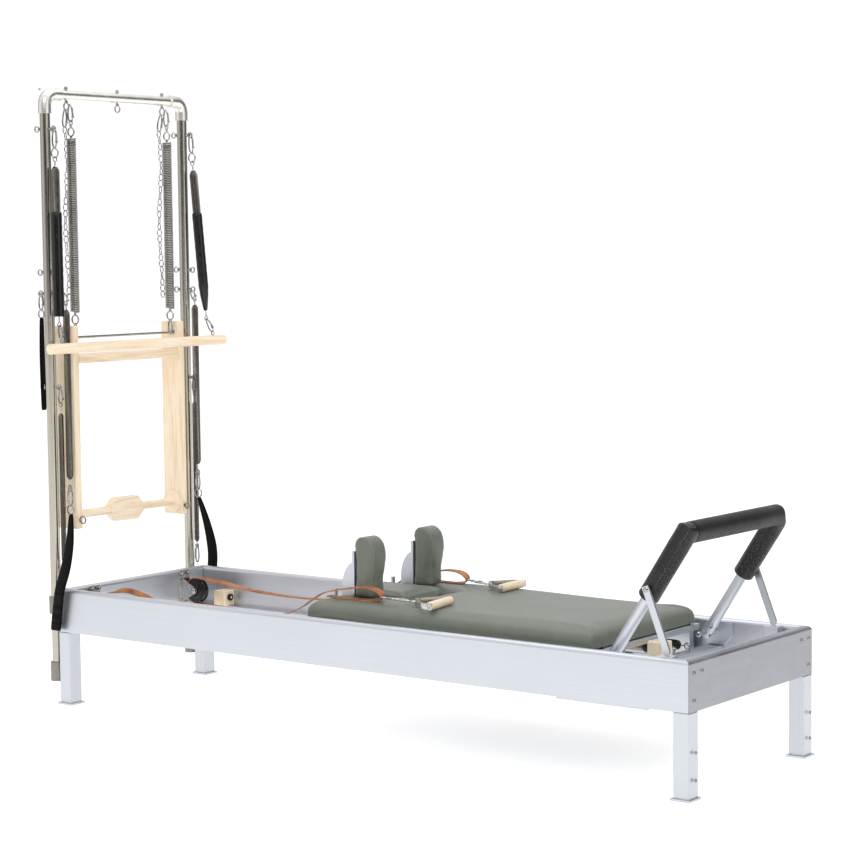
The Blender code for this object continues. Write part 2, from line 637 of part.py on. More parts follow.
def trapeze():
    inner = STILE_OUTER_Y - STILE_THICK
    x0, x1 = TRAPEZE_X - STILE_DEPTH / 2, TRAPEZE_X + STILE_DEPTH / 2
    for side, sign in SIDES:
        ys = sorted((sign * inner, sign * STILE_OUTER_Y))
        stile = box(f"trapeze_stile_{side}", (x0, ys[0], TRAPEZE_BOTTOM), (x1, ys[1], TRAPEZE_TOP), 0.003)
        finish(stile, maple(f"trapeze_stile_{side}_mat"))
        y = sign * SPRING_Y
        points = [(SPRING_X, y, z) for z in (1.925, 1.828, 1.821, 1.262, 1.255, ROD_Z + 0.0048)]
        spring(f"trapeze_spring_{side}", points, (0.004, 0.004, 0.016, 0.016, 0.004, 0.004),
               steel(f"trapeze_spring_{side}_mat"))
    rail = box("trapeze_rail", (x0, -inner + GAP, 1.097), (x1, inner - GAP, 1.125), 0.003)
    finish(rail, maple("trapeze_rail_mat"))
    rod = cylinder("trapeze_rod", (SPRING_X, -inner + GAP, ROD_Z), (SPRING_X, inner - GAP, ROD_Z), 0.0042, 12)
    finish(rod, steel("trapeze_rod_mat"))
    end = inner - GAP
    z = 0.602
    profile = ((0.039, end), (0.037, end - 0.007), (0.022, end - 0.018), (0.0145, end - 0.034),
               (0.0135, end - 0.060), (0.0135, -end + 0.060), (0.0145, -end + 0.034), (0.022, -end + 0.018),
               (0.037, -end + 0.007), (0.039, -end))
    grip = turned("trapeze_crossbar", profile, (TRAPEZE_X, 0, z), 'Y', 20)
    paddle = paddle_block(TRAPEZE_X, z)
    finish(join(grip, paddle), maple("trapeze_crossbar_mat"))


def paddle_block(x, z):
    """The eight-sided push pad in the middle of the lower crossbar."""
    bm = bmesh.new()
    outline = ((-0.076, -0.012), (-0.050, -0.0385), (0.050, -0.0385), (0.076, -0.012),
               (0.076, 0.012), (0.050, 0.0385), (-0.050, 0.0385), (-0.076, 0.012))
    face = bm.faces.new([bm.verts.new((x - 0.0155, y, z + dz)) for y, dz in outline])
    grown = bmesh.ops.extrude_face_region(bm, geom=[face])
    moved = [v for v in grown["geom"] if isinstance(v, bmesh.types.BMVert)]
    bmesh.ops.translate(bm, vec=(0.031, 0, 0), verts=moved)
    return mesh_object("paddle", bm)


def rolldown():
    bar_x, bar_z, radius = MIDDLE_X - 1.118, 1.151, 0.017
    profile = ((radius - 0.003, 0.409), (radius, 0.406), (radius, -0.406), (radius - 0.003, -0.409))
    finish(turned("rolldown_bar", profile, (bar_x, 0, bar_z), 'Y', 16), maple("rolldown_bar_mat"))
    for side, sign in SIDES:
        top = Vector((MIDDLE_X - 1.170, sign * 0.316, 1.828))
        low = Vector((MIDDLE_X - 1.1365, sign * 0.3455, 1.200))
        end = Vector((bar_x, sign * 0.354, bar_z + radius + 0.0045))
        heights = (1.828, 1.737, 1.722, 1.590, 1.582, 1.262, 1.254, 1.200)
        points = [top.lerp(low, (top.z - z) / (top.z - low.z)) for z in heights] + [end]
        radii = (0.003, 0.003, 0.0145, 0.0145, 0.0165, 0.0165, 0.004, 0.004, 0.003)
        spring(f"arm_spring_{side}", points, radii, black_rubber(f"arm_spring_{side}_mat"))


def leg_springs():
    for side, sign in SIDES:
        x, y = MIDDLE_X - 1.150, sign * 0.301
        points = [(x, y, z) for z in (1.312, 1.284, 1.276, 0.726, 0.718, 0.602)]
        spring(f"leg_spring_{side}", points, (0.003, 0.003, 0.012, 0.012, 0.004, 0.004),
               steel(f"leg_spring_{side}_mat"))
        route = ((-1.148, 0.302, 0.596), (-1.134, 0.325, 0.520), (-1.134, 0.347, 0.440),
                 (-1.146, 0.361, 0.375), (-1.160, 0.361, 0.300), (-1.172, 0.359, 0.245))
        points = [(MIDDLE_X + px, sign * py, pz) for px, py, pz in route]
        spring(f"leg_loop_{side}", points, (0.008, 0.011, 0.013, 0.014, 0.014, 0.012),
               black_rubber(f"leg_loop_{side}_mat"))
        x, y = MIDDLE_X - 1.172, sign * 0.314
        points = [(x, y, z) for z in (1.012, 0.950, 0.943, 0.456, 0.450, 0.385)]
        spring(f"light_spring_{side}", points, (0.003, 0.003, 0.009, 0.009, 0.003, 0.003),
               steel(f"light_spring_{side}_mat"))


def main():
    clear_scene()
    frame_sides()
    legs()
    tower()
    pulleys()
    stops()
    carriage()
    shoulder_rests()
    wheels()
    straps()
    handle("near", MIDDLE_X + 0.258, -0.200, 8)
    handle("far", MIDDLE_X + 0.235, 0.194, 3)
    footbar()
    trapeze()
    rolldown()
    leg_springs()


main()
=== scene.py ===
"""Looks for the pilates reformer: finishes, upholstery, straps, springs and hardware, and its studio.
Metres, +Z up. The head end is at -X, the near side at -Y."""

from math import cos, pi, radians, sin, tau

import bmesh
import bpy
from mathutils import Matrix, Vector
from mathutils.bvhtree import BVHTree


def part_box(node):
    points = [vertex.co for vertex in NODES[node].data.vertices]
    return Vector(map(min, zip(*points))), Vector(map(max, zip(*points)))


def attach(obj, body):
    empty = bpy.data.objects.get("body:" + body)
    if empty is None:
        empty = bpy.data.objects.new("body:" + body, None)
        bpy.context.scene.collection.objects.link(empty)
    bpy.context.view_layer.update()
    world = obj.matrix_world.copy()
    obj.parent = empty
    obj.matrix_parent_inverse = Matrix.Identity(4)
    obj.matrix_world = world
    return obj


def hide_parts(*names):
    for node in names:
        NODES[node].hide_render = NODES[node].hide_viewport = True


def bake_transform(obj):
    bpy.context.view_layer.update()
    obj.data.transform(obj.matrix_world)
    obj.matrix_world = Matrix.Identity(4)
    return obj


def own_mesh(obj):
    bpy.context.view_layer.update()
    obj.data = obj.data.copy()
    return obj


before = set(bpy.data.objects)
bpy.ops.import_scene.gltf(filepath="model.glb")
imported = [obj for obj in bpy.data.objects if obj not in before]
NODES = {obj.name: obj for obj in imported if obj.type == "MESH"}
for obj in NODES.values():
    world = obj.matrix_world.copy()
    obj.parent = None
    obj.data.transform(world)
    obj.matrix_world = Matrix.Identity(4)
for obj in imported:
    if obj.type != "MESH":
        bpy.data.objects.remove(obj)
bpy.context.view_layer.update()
SIDES = {"near": -1, "far": 1}
X, Y, Z, DOWN = (1, 0, 0), (0, 1, 0), (0, 0, 1), (0, 0, -1)

MIDDLE_X = 0.033
TOWER_X = -1.177
SPRING_X = -1.158
ROD_Z = 1.181
EYE_OUT, EYE_SHANK = 0.038, 0.062   # the tower posts' eyes: how far out they sit, and their shanks
PULLEY = Vector((-1.047, 0, 0.308))
STRAP_Y = 0.2125
POST_Y = 0.317
SPRING_Y = 0.222                # the trapeze springs, and the chains beside them
CARRIAGE_HEAD_X = -0.167
PAD_BASE_Z = 0.360


# ---- geometry


def circle(radius, sides):
    return [(radius * cos(tau * k / sides), radius * sin(tau * k / sides)) for k in range(sides)]


def bar_section(width, thickness, corner):
    """A flat bar's section with rounded corners, as (across, up) points."""
    points = []
    for quarter, (sx, sy) in enumerate([(1, 1), (-1, 1), (-1, -1), (1, -1)]):
        for step in range(3):
            angle = quarter * pi / 2 + step * pi / 4
            points.append((
                sx * (width / 2 - corner) + corner * cos(angle),
                sy * (thickness / 2 - corner) + corner * sin(angle),
            ))
    return points


def smooth_route(points, steps=8):
    """A Catmull-Rom curve through the points."""
    points = [Vector(p) for p in points]
    padded = [2 * points[0] - points[1], *points, 2 * points[-1] - points[-2]]
    route = []
    for a, b, c, d in zip(padded, padded[1:], padded[2:], padded[3:]):
        for step in range(steps):
            t = step / steps
            route.append(0.5 * (
                2 * b + (c - a) * t + (2 * a - 5 * b + 4 * c - d) * t**2 + (3 * b - a - 3 * c + d) * t**3
            ))
    return [*route, points[-1]]


def frames(path, closed, side):
    """Each point of a path with its across and up vectors, turned as little as possible between points."""
    points = [Vector(p) for p in path]
    across, found = None, []
    for k, point in enumerate(points):
        before = points[k - 1] if k or closed else point
        after = points[(k + 1) % len(points)] if closed or k < len(points) - 1 else point
        along = (after - before).normalized()
        if side is not None:
            across = Vector(side[k] if isinstance(side, list) else side)
        elif across is None:
            across = along.cross(Z if abs(along.z) < 0.9 else X)
        across = (across - along * across.dot(along)).normalized()
        found.append((point, across, across.cross(along)))
    return found


class Shape:
    """Closed forms gathered into one mesh."""

    def __init__(self):
        self.verts, self.faces = [], []

    def skin(self, rings, closed=False):
        base, n, count = len(self.verts), len(rings[0]), len(rings)
        self.verts += [Vector(v) for ring in rings for v in ring]
        for k in range(count if closed else count - 1):
            here, there = base + k * n, base + (k + 1) % count * n
            self.faces += [[here + i, here + (i + 1) % n, there + (i + 1) % n, there + i] for i in range(n)]
        if not closed:
            self.faces += [[base + i for i in range(n)][::-1], [base + (count - 1) * n + i for i in range(n)]]
        return self

    def sweep(self, path, section, closed=False, side=None, scale=None):
        scale = scale or [1] * len(path)
        return self.skin([
            [point + across * a * s + up * b * s for a, b in section]
            for (point, across, up), s in zip(frames(path, closed, side), scale)
        ], closed)

    def tube(self, path, radius, sides=12, closed=False):
        return self.sweep(path, circle(radius, sides), closed)

    def mitred(self, points, flat, radius, scale=None):
        """A round sleeve along straight runs in one plane, square to `flat`, mitred where they meet."""
        points, rings = [Vector(p) for p in points], []
        for k, point in enumerate(points):
            into = (point - points[k - 1]).normalized() if k else (points[1] - point).normalized()
            out = (points[k + 1] - point).normalized() if k < len(points) - 1 else into
            across, plane = into.cross(flat), (into + out).normalized()
            size = radius * (scale[k] if scale else 1)
            ring = [point + across * a + flat * b for a, b in circle(size, 32)]
            rings.append([q + into * ((point - q).dot(plane) / into.dot(plane)) for q in ring])
        return self.skin(rings)

    def ring(self, centre, axis, radius, wire, stretch=1.0, steps=24, sides=8):
        """A closed wire ring, stretched along Z if it is a chain link."""
        axis = Vector(axis).normalized()
        long = Vector(X) if abs(axis.z) > 0.9 else Vector(Z)
        long = (long - axis * long.dot(axis)).normalized()
        wide = axis.cross(long)
        path = [
            Vector(centre) + long * radius * stretch * cos(tau * k / steps)
            + wide * radius * sin(tau * k / steps)
            for k in range(steps)
        ]
        return self.tube(path, wire, sides, True)

    def lathe(self, origin, axis, profile, sides=24):
        """Turns a profile of (distance, radius) about an axis."""
        turn = Vector(axis).to_track_quat("Z", "X")
        return self.skin([
            [Vector(origin) + turn @ Vector((x, y, distance)) for x, y in circle(radius, sides)]
            for distance, radius in profile
        ])

    def piece(self, name, material, slot, body=None, bevel=0.0, crease=40, replaces=()):
        mesh = bpy.data.meshes.new(name)
        mesh.from_pydata(self.verts, [], self.faces)
        bm = bmesh.new()
        bm.from_mesh(mesh)
        bmesh.ops.recalc_face_normals(bm, faces=bm.faces)
        for edge in bm.edges:
            edge.smooth = len(edge.link_faces) == 2 and edge.calc_face_angle() < radians(crease)
        for face in bm.faces:
            face.smooth = True
        bm.to_mesh(mesh)
        bm.free()
        obj = bpy.data.objects.new(name, mesh)
        bpy.context.scene.collection.objects.link(obj)
        mesh.materials.append(material)
        if bevel:
            soften(obj, bevel)
        if body:
            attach(obj, body)
        if replaces:
            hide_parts(*replaces)
        return obj

    def fitting(self, name, body):
        return self.piece(name, bright_steel, "fitting_steel", body)


def shade_smooth(mesh):
    for polygon in mesh.polygons:
        polygon.use_smooth = True


def soften(obj, width):
    """Rounds the sharp edges, so that they catch the light."""
    edges = obj.modifiers.new("edges", "BEVEL")
    edges.width = width
    edges.segments = 2
    edges.limit_method = "ANGLE"
    edges.angle_limit = radians(35)
    edges.miter_outer = "MITER_ARC"
    normals = obj.modifiers.new("normals", "WEIGHTED_NORMAL")
    normals.keep_sharp = False


# ---- hardware


def washer(shape, centre, axis, radius):
    shape.lathe(centre, axis, [(0, radius), (0.00112, radius), (0.0014, radius * 0.93)], 24)


def hex_nut(shape, centre, axis, across, height):
    """An acorn nut."""
    top = [(height, across * 0.92), (height + 0.0035, across * 0.6), (height + 0.0045, across * 0.1)]
    shape.lathe(centre, axis, [(0, across), (height * 0.9, across)], 6)
    shape.lathe(centre, axis, [(0, across * 0.9), *top], 20)


def screw(shape, centre, axis, radius, height):
    """A button-head screw with a hexagon socket."""
    axis = Vector(axis)
    shape.lathe(centre, axis, [
        (-0.001, radius), (height * 0.35, radius), (height * 0.8, radius * 0.8), (height, radius * 0.55),
        (height, radius * 0.42), (height * 0.35, radius * 0.42), (height * 0.35, radius * 0.02),
    ], 24)


def eyebolt(shape, eye, direction, shank, radius=0.0090, wire=0.0025, nut=True):
    """A ring with a shank that leaves it in a direction, a collar under it, and a nut past the tube."""
    direction = Vector(direction).normalized()
    eye = Vector(eye)
    shape.ring(eye, Y, radius, wire)
    start = eye + direction * radius
    shape.tube([start, start + direction * shank], wire * 1.05, 10)
    shape.lathe(start, direction, [
        (0.0005, wire * 1.1), (0.002, wire * 2.2), (0.0045, wire * 2.2), (0.006, wire * 1.1),
    ], 16)
    if nut:
        end = start + direction * (shank - 0.008)
        washer(shape, end - direction * 0.0012, direction, 0.0075)
        hex_nut(shape, end, direction, 0.006, 0.0045)


def snap_hook(shape, top, bottom, normal, width=0.0088):
    """A carabiner snap hook from an upper point to a lower one: pear-shaped body, gate and rivet."""
    top, bottom, wire, steps = Vector(top), Vector(bottom), 0.0025, 28
    long, middle = top - bottom, (top + bottom) / 2
    length = long.length
    long.normalize()
    across = Vector(normal).cross(long).normalized()
    path = []
    for k in range(steps):
        angle = tau * k / steps
        lift = cos(angle)
        half = width * (1.0 - 0.28 * lift)
        path.append(middle + long * lift * length / 2 + across * sin(angle) * half)
    shape.tube(path, wire, 8, True)
    gate = [middle + long * length * part + across * width * bulge
            for part, bulge in ((0.30, 0.86), (0.05, 1.02), (-0.22, 1.06))]
    shape.tube(smooth_route(gate, 4), wire * 1.25, 8)
    rivet = gate[-1] - Vector(normal).normalized() * wire * 1.5
    shape.lathe(rivet, normal, [(0, wire * 1.3), (wire * 3, wire * 1.3)], 12)


def swivel_eye(shape, centre, axis_down, normal, radius):
    """A snap hook's swivel: a round eye and a barrel below it."""
    axis_down = Vector(axis_down).normalized()
    shape.ring(centre, normal, radius, 0.002)
    shape.lathe(Vector(centre) + axis_down * radius, axis_down, [
        (0, 0.0025), (0.001, 0.0042), (0.006, 0.0042), (0.0075, 0.003), (0.009, 0.003),
    ], 16)


def chain(shape, start, end, sway):
    """Welded links from one point to another, each turned a quarter from the last, with a little sway."""
    start, end = Vector(start), Vector(end)
    link, wire = 0.0265, 0.0017
    half_width = link * 0.29
    count = int((end - start).length / (link * 0.76))
    for k in range(count):
        part = (k + 0.5) / count
        swing = Vector((sway * sin(part * pi * 2.2), sway * 0.6 * sin(part * pi * 3.1), 0))
        centre = start.lerp(end, part) + swing
        turn = radians(25) * sin(k * 1.7)
        axis = (cos(turn), sin(turn), 0) if k % 2 else (-sin(turn), cos(turn), 0)
        shape.ring(centre, axis, half_width, wire, (link / 2 - wire) / half_width, 14, 6)


def coil(shape, top, bottom, radius, wire, pitch, taper_top=0.0, taper_bottom=0.0, steps=11, sides=5):
    """A close-wound spring. Each taper is the length over which an end draws in."""
    top, bottom = Vector(top), Vector(bottom)
    length = (bottom - top).length
    turn = (bottom - top).to_track_quat("Z", "X")
    count = int(length / pitch * steps)
    path = []
    for k in range(count + 1):
        along = length * k / count
        draw = 1.0
        for reach, distance in ((taper_top, along), (taper_bottom, length - along)):
            if reach and distance < reach:
                draw = min(draw, 0.42 + 0.58 * sin(distance / reach * pi / 2))
        angle = tau * along / pitch
        path.append(top + turn @ Vector((
            (radius - wire) * draw * cos(angle), (radius - wire) * draw * sin(angle), along,
        )))
    shape.tube(path, wire, sides)


def hooked_end(shape, tip, inward, radius, wire, axis, reach):
    """The wire loop that a spring's last turn is bent into, with its neck into the coil."""
    tip, inward = Vector(tip), Vector(inward).normalized()
    eye = tip + inward * radius
    shape.ring(eye, axis, radius, wire)
    shape.tube([eye + inward * radius, eye + inward * (radius + reach)], wire * 1.1, 8)


# ---- materials


def node(tree, kind, inputs=None, **settings):
    made = tree.nodes.new(kind)
    for key, value in settings.items():
        setattr(made, key, value)
    for key, value in (inputs or {}).items():
        if isinstance(value, bpy.types.NodeSocket):
            tree.links.new(value, made.inputs[key])
        else:
            made.inputs[key].default_value = value
    return made


def linear(red, green, blue):
    """A screen colour, 0 to 255, as linear RGBA."""
    def channel(c):
        return c / 255 / 12.92 if c <= 10 else ((c / 255 + 0.055) / 1.055) ** 2.4
    return channel(red), channel(green), channel(blue), 1


def grey(value):
    return linear(value, value, value)


WHITE = grey(255)


def new_finish(name, **sockets):
    """A material, its tree and its shader, with the given plain numbers on the shader's own sockets."""
    material = bpy.data.materials.new(name)
    material.use_nodes = True
    tree = material.node_tree
    shader = tree.nodes["Principled BSDF"]
    for key, value in sockets.items():
        shader.inputs[key.replace("_", " ").title().replace("Ior", "IOR")].default_value = value
    return material, tree, shader


def grain(tree, scale, detail=3.0, rough=0.55, twist=0.0):
    """Noise in the object's own coordinates, with one scale or one for each axis."""
    if isinstance(scale, (int, float)):
        scale = [scale] * 3
    coords = node(tree, "ShaderNodeTexCoord")
    scaled = node(tree, "ShaderNodeMapping", {"Vector": coords.outputs["Object"], "Scale": scale})
    made = node(tree, "ShaderNodeTexNoise", {
        "Vector": scaled.outputs["Vector"], "Scale": 1.0, "Detail": detail, "Roughness": rough,
        "Distortion": twist,
    })
    return made.outputs["Fac"]


def cells(tree, scale, spread=1.0):
    coords = node(tree, "ShaderNodeTexCoord")
    made = node(tree, "ShaderNodeTexVoronoi", {
        "Vector": coords.outputs["Object"], "Scale": scale, "Randomness": spread,
    })
    return made.outputs["Distance"]


def ramp(tree, value, *stops):
    made = node(tree, "ShaderNodeValToRGB", {"Fac": value})
    elements = made.color_ramp.elements
    while len(elements) < len(stops):
        elements.new(0.5)
    for element, (position, colour) in zip(elements, stops):
        element.position = position
        element.color = colour
    return made.outputs["Color"]


def spread(tree, value, low, high, start=0.3, stop=0.7):
    return node(tree, "ShaderNodeMapRange", {
        "Value": value, "From Min": start, "From Max": stop, "To Min": low, "To Max": high,
    }).outputs["Result"]


def mix_colours(tree, factor, first, second, blend_type="MIX"):
    return node(tree, "ShaderNodeMix", {0: factor, 6: first, 7: second},
                data_type="RGBA", blend_type=blend_type).outputs[2]


def sums(tree, first, second, share):
    """first + second * share"""
    return node(tree, "ShaderNodeMath", {0: second, 1: share, 2: first}, operation="MULTIPLY_ADD").outputs[0]


def finished(tree, shader, colour, rough, height, strength, distance):
    """Wires up a finish: its colour, its roughness if that varies, and its bumps."""
    tree.links.new(colour, shader.inputs["Base Color"])
    if rough:
        tree.links.new(rough, shader.inputs["Roughness"])
    made = node(tree, "ShaderNodeBump", {"Height": height, "Strength": strength, "Distance": distance})
    tree.links.new(made.outputs["Normal"], shader.inputs["Normal"])


def stretched(across, along, axis):
    """A noise scale that differs along one axis: 0, 1 or 2."""
    return [along if k == axis else across for k in range(3)]


def metal(name, light, dark, rough, brushing, strength, blotch=3.0):
    """Metal with brushing, which is noise stretched where its scale is small, and broad handling marks."""
    material, tree, shader = new_finish(name, metallic=1.0)
    lines = grain(tree, brushing, 4.0, 0.6)
    mottled = sums(tree, lines, grain(tree, blotch, 5.0, 0.62, 0.6), 0.55)
    colour = ramp(tree, mottled, (0.42, linear(*dark)), (0.98, linear(*light)))
    finished(tree, shader, colour, spread(tree, mottled, *rough, 0.45, 1.0), lines, strength, 0.00003)
    return material


def wood(name, axis):
    """Pale maple with its grain along an axis: 0, 1 or 2."""
    material, tree, shader = new_finish(name, coat_weight=0.12, coat_roughness=0.28, specular_ior_level=0.4)
    broad = grain(tree, stretched(26.0, 1.6, axis), 3.0, 0.5, 1.4)
    fine = grain(tree, stretched(150.0, 4.0, axis), 4.0, 0.6, 0.5)
    pore = grain(tree, stretched(900.0, 26.0, axis), 2.0)
    figure = sums(tree, broad, fine, 0.55)
    colour = ramp(
        tree, figure, (0.50, linear(224, 196, 162)), (0.66, linear(240, 218, 188)),
        (0.80, linear(248, 232, 208)), (0.96, linear(236, 212, 180)),
    )
    flecks = ramp(tree, pore, (0.30, linear(222, 200, 172)), (0.42, WHITE))
    finished(tree, shader, mix_colours(tree, 0.55, colour, flecks, "MULTIPLY"),
             spread(tree, fine, 0.36, 0.52), sums(tree, fine, pore, 0.8), 0.25, 0.0002)
    return material


def vinyl(name, colour, shade):
    """Upholstery vinyl: a leather-like grain of small cells, softly sheened."""
    material, tree, shader = new_finish(name, coat_weight=0.10, coat_roughness=0.35, sheen_weight=0.12,
                                        sheen_roughness=0.5, specular_ior_level=0.45)
    creases = cells(tree, 780.0)
    clouds = grain(tree, 9.0, 4.0, 0.6, 0.4)
    tint = ramp(tree, clouds, (0.30, shade), (0.70, colour))
    pits = ramp(tree, creases, (0.10, WHITE), (0.72, grey(226)))
    finished(tree, shader, mix_colours(tree, 0.8, tint, pits, "MULTIPLY"),
             spread(tree, sums(tree, clouds, creases, 0.35), 0.34, 0.50, 0.4, 0.9),
             sums(tree, creases, grain(tree, 2600.0, 2.0), 0.30), 0.35, 0.00035)
    return material


def leather(name):
    """Tan strap leather: pores, long flexing creases and a handled surface."""
    material, tree, shader = new_finish(name, coat_weight=0.08, coat_roughness=0.4, specular_ior_level=0.45)
    pores = cells(tree, 1300.0)
    folds = grain(tree, (160.0, 30.0, 160.0), 4.0, 0.65, 0.8)
    clouds = grain(tree, 22.0, 4.0, 0.6)
    tint = ramp(
        tree, sums(tree, clouds, folds, 0.4), (0.48, linear(122, 70, 38)), (0.66, linear(172, 108, 62)),
        (0.90, linear(198, 134, 82)),
    )
    pitted = ramp(tree, pores, (0.1, WHITE), (0.8, grey(200)))
    finished(tree, shader, mix_colours(tree, 0.5, tint, pitted, "MULTIPLY"), spread(tree, folds, 0.42, 0.62),
             sums(tree, folds, pores, 0.5), 0.4, 0.0003)
    return material


def pebbled(name, light, dark, scale, rough, depth):
    """Moulded black rubber or grip vinyl with a regular pebble. The pebble tops take the lighter colour, a
    painted highlight, and the hollows between them take the darker, painted shade.
    """
    material, tree, shader = new_finish(name, specular_ior_level=0.42)
    pebbles = cells(tree, scale, spread=0.35)
    clouds = grain(tree, 14.0, 4.0)
    height = node(tree, "ShaderNodeMath", {0: 1.0, 1: pebbles}, operation="SUBTRACT").outputs[0]
    # Painted highlight on the pebble tops, painted shade in the hollows between them.
    finished(tree, shader, ramp(tree, pebbles, (0.10, light), (0.34, dark)),
             spread(tree, sums(tree, clouds, pebbles, 0.3), *rough, 0.35, 0.9), height, 0.7, depth)
    return material


def moulded(name, tone, rough):
    """Hard black plastic with a fine spark texture."""
    material, tree, shader = new_finish(name, specular_ior_level=0.5)
    clouds = grain(tree, 30.0, 4.0)
    finished(tree, shader, ramp(tree, clouds, (0.3, grey(tone)), (0.75, grey(tone + 8))),
             spread(tree, clouds, *rough), grain(tree, 1500.0), 0.2, 0.0002)
    return material


def webbing(name):
    """Black woven webbing: two crossed rib patterns."""
    material, tree, shader = new_finish(name, sheen_weight=0.06, sheen_roughness=0.4, specular_ior_level=0.12,
                                        roughness=0.8)
    coords = node(tree, "ShaderNodeTexCoord")
    bands = []
    for direction, scale in (("Z", 420.0), ("Y", 380.0)):
        wave = node(tree, "ShaderNodeTexWave", {
            "Vector": coords.outputs["Object"], "Scale": scale, "Distortion": 0.6, "Detail": 1.0,
        }, bands_direction=direction)
        bands.append(wave.outputs["Fac"])
    weave = node(tree, "ShaderNodeMath", {0: bands[0], 1: bands[1]}, operation="MULTIPLY").outputs[0]
    finished(tree, shader, ramp(tree, weave, (0.1, grey(8)), (0.9, grey(28))), None,
             sums(tree, weave, grain(tree, 60.0), 0.5), 0.6, 0.0005)
    return material


aluminium_x, aluminium_y, aluminium_z = (
    metal(f"aluminium_brushed_{name}", (216, 219, 225), (200, 204, 211), (0.34, 0.48),
          stretched(900, 3.0, axis), 0.06) for axis, name in enumerate("xyz"))
# The foot end plate's darker grey is painted shade, for a face turned away from the light; its cloudier
# brushing is its own.
end_plate_metal_painted_shade = metal("aluminium_end_plate_painted_shade", (180, 181, 187), (154, 156, 163), (0.34, 0.5),
                        stretched(36, 7.0, 1), 0.03, blotch=9.0)
tower_steel = metal("steel_tower_z", (196, 191, 179), (176, 170, 158), (0.12, 0.20),
                    stretched(160, 2.0, 2), 0.02)
cast_steel = metal("steel_cast", (244, 241, 235), (233, 230, 223), (0.20, 0.30), 24, 0.01)
# The post mounts' darker steel is partly painted shade: their thin bar against the leg stands where a
# shadowed gap shows.
mount_steel_with_painted_shade = metal("steel_mount_with_painted_shade", (152, 148, 140), (118, 114, 106), (0.18, 0.32), 60, 0.04)
fitting_steel = metal("steel_fitting", (214, 213, 210), (184, 183, 180), (0.22, 0.36), 240, 0.05)
bright_steel = metal("steel_bright", (206, 205, 202), (100, 98, 95), (0.06, 0.16), 180, 0.05)
brass = metal("steel_brass_screw", (188, 183, 170), (140, 135, 122), (0.22, 0.36), 300, 0.05)
spring_steel = metal("steel_spring", (164, 161, 155), (124, 121, 115), (0.16, 0.28), 30, 0.03)
dark_spring_steel = metal("steel_spring_dark", (118, 113, 105), (84, 80, 74), (0.16, 0.28), 30, 0.03)
maple_y, maple_z = wood("maple_y", 1), wood("maple_z", 2)
sage_vinyl = vinyl("vinyl_sage", linear(118, 124, 113), linear(106, 112, 100))
# The seam vinyl is paler than the sage: a painted highlight along the shoulder rests' edge creases.
seam_vinyl_painted_highlight = vinyl("vinyl_sage_seam_painted_highlight", linear(140, 146, 134), linear(126, 132, 120))
strap_leather = leather("leather_tan")
# The grip's grey(96) on the pebble tops is a painted highlight: the specular dots on black vinyl.
grip_vinyl = pebbled("vinyl_grip_black", grey(96), grey(7), 190.0, (0.22, 0.40), 0.0018)
top_vinyl = pebbled("vinyl_grip_top", linear(20, 20, 25), linear(9, 9, 12), 1100.0, (0.42, 0.55), 0.0003)
black_rubber = pebbled("rubber_black", grey(26), grey(12), 1400.0, (0.45, 0.65), 0.0002)
sleeve_vinyl = moulded("vinyl_sleeve_black", 12, (0.16, 0.28))
black_nylon = moulded("nylon_black", 3, (0.18, 0.32))
black_webbing = webbing("webbing_black")


# ---- the CAD nodes that stay


def dress(material, bevel, *names):
    """Gives CAD nodes their finish, with welded shading and softened edges."""
    for name in names:
        obj = NODES[name]
        mesh = obj.data
        if "custom_normal" in mesh.attributes:
            mesh.attributes.remove(mesh.attributes["custom_normal"])
        shade_smooth(mesh)
        for slot in obj.material_slots:
            slot.material = material
        obj.modifiers.new("weld", "WELD").merge_threshold = 0.00001
        flat = obj.modifiers.new("flat", "DECIMATE")
        flat.decimate_type = "DISSOLVE"
        flat.angle_limit = radians(0.5)
        soften(obj, bevel)


def each_side(*names):
    return [f"{name}_{side}" for name in names for side in SIDES]


dress(aluminium_x, 0.0012, *each_side("rail"))
dress(aluminium_y, 0.0012, "end_plate_head")
# Its darker grey is painted shade.
dress(end_plate_metal_painted_shade, 0.0012, "end_plate_foot")
dress(aluminium_z, 0.0010, *each_side("leg_head", "leg_foot"))
dress(tower_steel, 0.0006, *each_side("tower_post"))
# The mounts' darker steel is partly painted shade.
dress(mount_steel_with_painted_shade, 0.0008, *each_side("post_mount"))
dress(cast_steel, 0.0008, "tower_top")
dress(bright_steel, 0.0006, *each_side("pulley_bracket"))
dress(aluminium_z, 0.0006, *each_side("footbar_bracket", "prop_seat", "shoulder_bracket"))
dress(maple_z, 0.0010, *each_side("head_stop"), "foot_stop")
dress(aluminium_y, 0.0008, "spring_bar")
dress(aluminium_x, 0.0010, "carriage_frame")
dress(black_nylon, 0.0010, *each_side("wheel_head", "wheel_foot", "pulley"))
dress(aluminium_z, 0.0006, "footbar_tube", *each_side("prop"))
dress(maple_z, 0.0016, *each_side("trapeze_stile"))
dress(maple_y, 0.0016, "trapeze_rail", "trapeze_crossbar")
dress(bright_steel, 0.0005, "trapeze_rod")
dress(maple_y, 0.0008, "rolldown_bar")


# ---- tower hardware

tower_fittings = Shape()
for y in (-SPRING_Y, 0.010, SPRING_Y):
    eyebolt(tower_fittings, (TOWER_X, y, 1.925), Z, 0.052, radius=0.011, wire=0.0026)
for sign in SIDES.values():
    y = sign * POST_Y
    for way, heights in ((-1, (1.849, 1.392, 1.324, 1.023)), (1, (1.391, 1.324, 1.024, 1.848))):
        for z in heights:
            eyebolt(tower_fittings, (TOWER_X + way * EYE_OUT, y, z), (-way, 0, 0), EYE_SHANK, nut=False)
    for z in (1.912, 1.975):
        screw(tower_fittings, (TOWER_X - 0.0205, y, z), (-1, 0, 0), 0.0042, 0.003)
tower_fittings.fitting("tower_fittings", "frame")

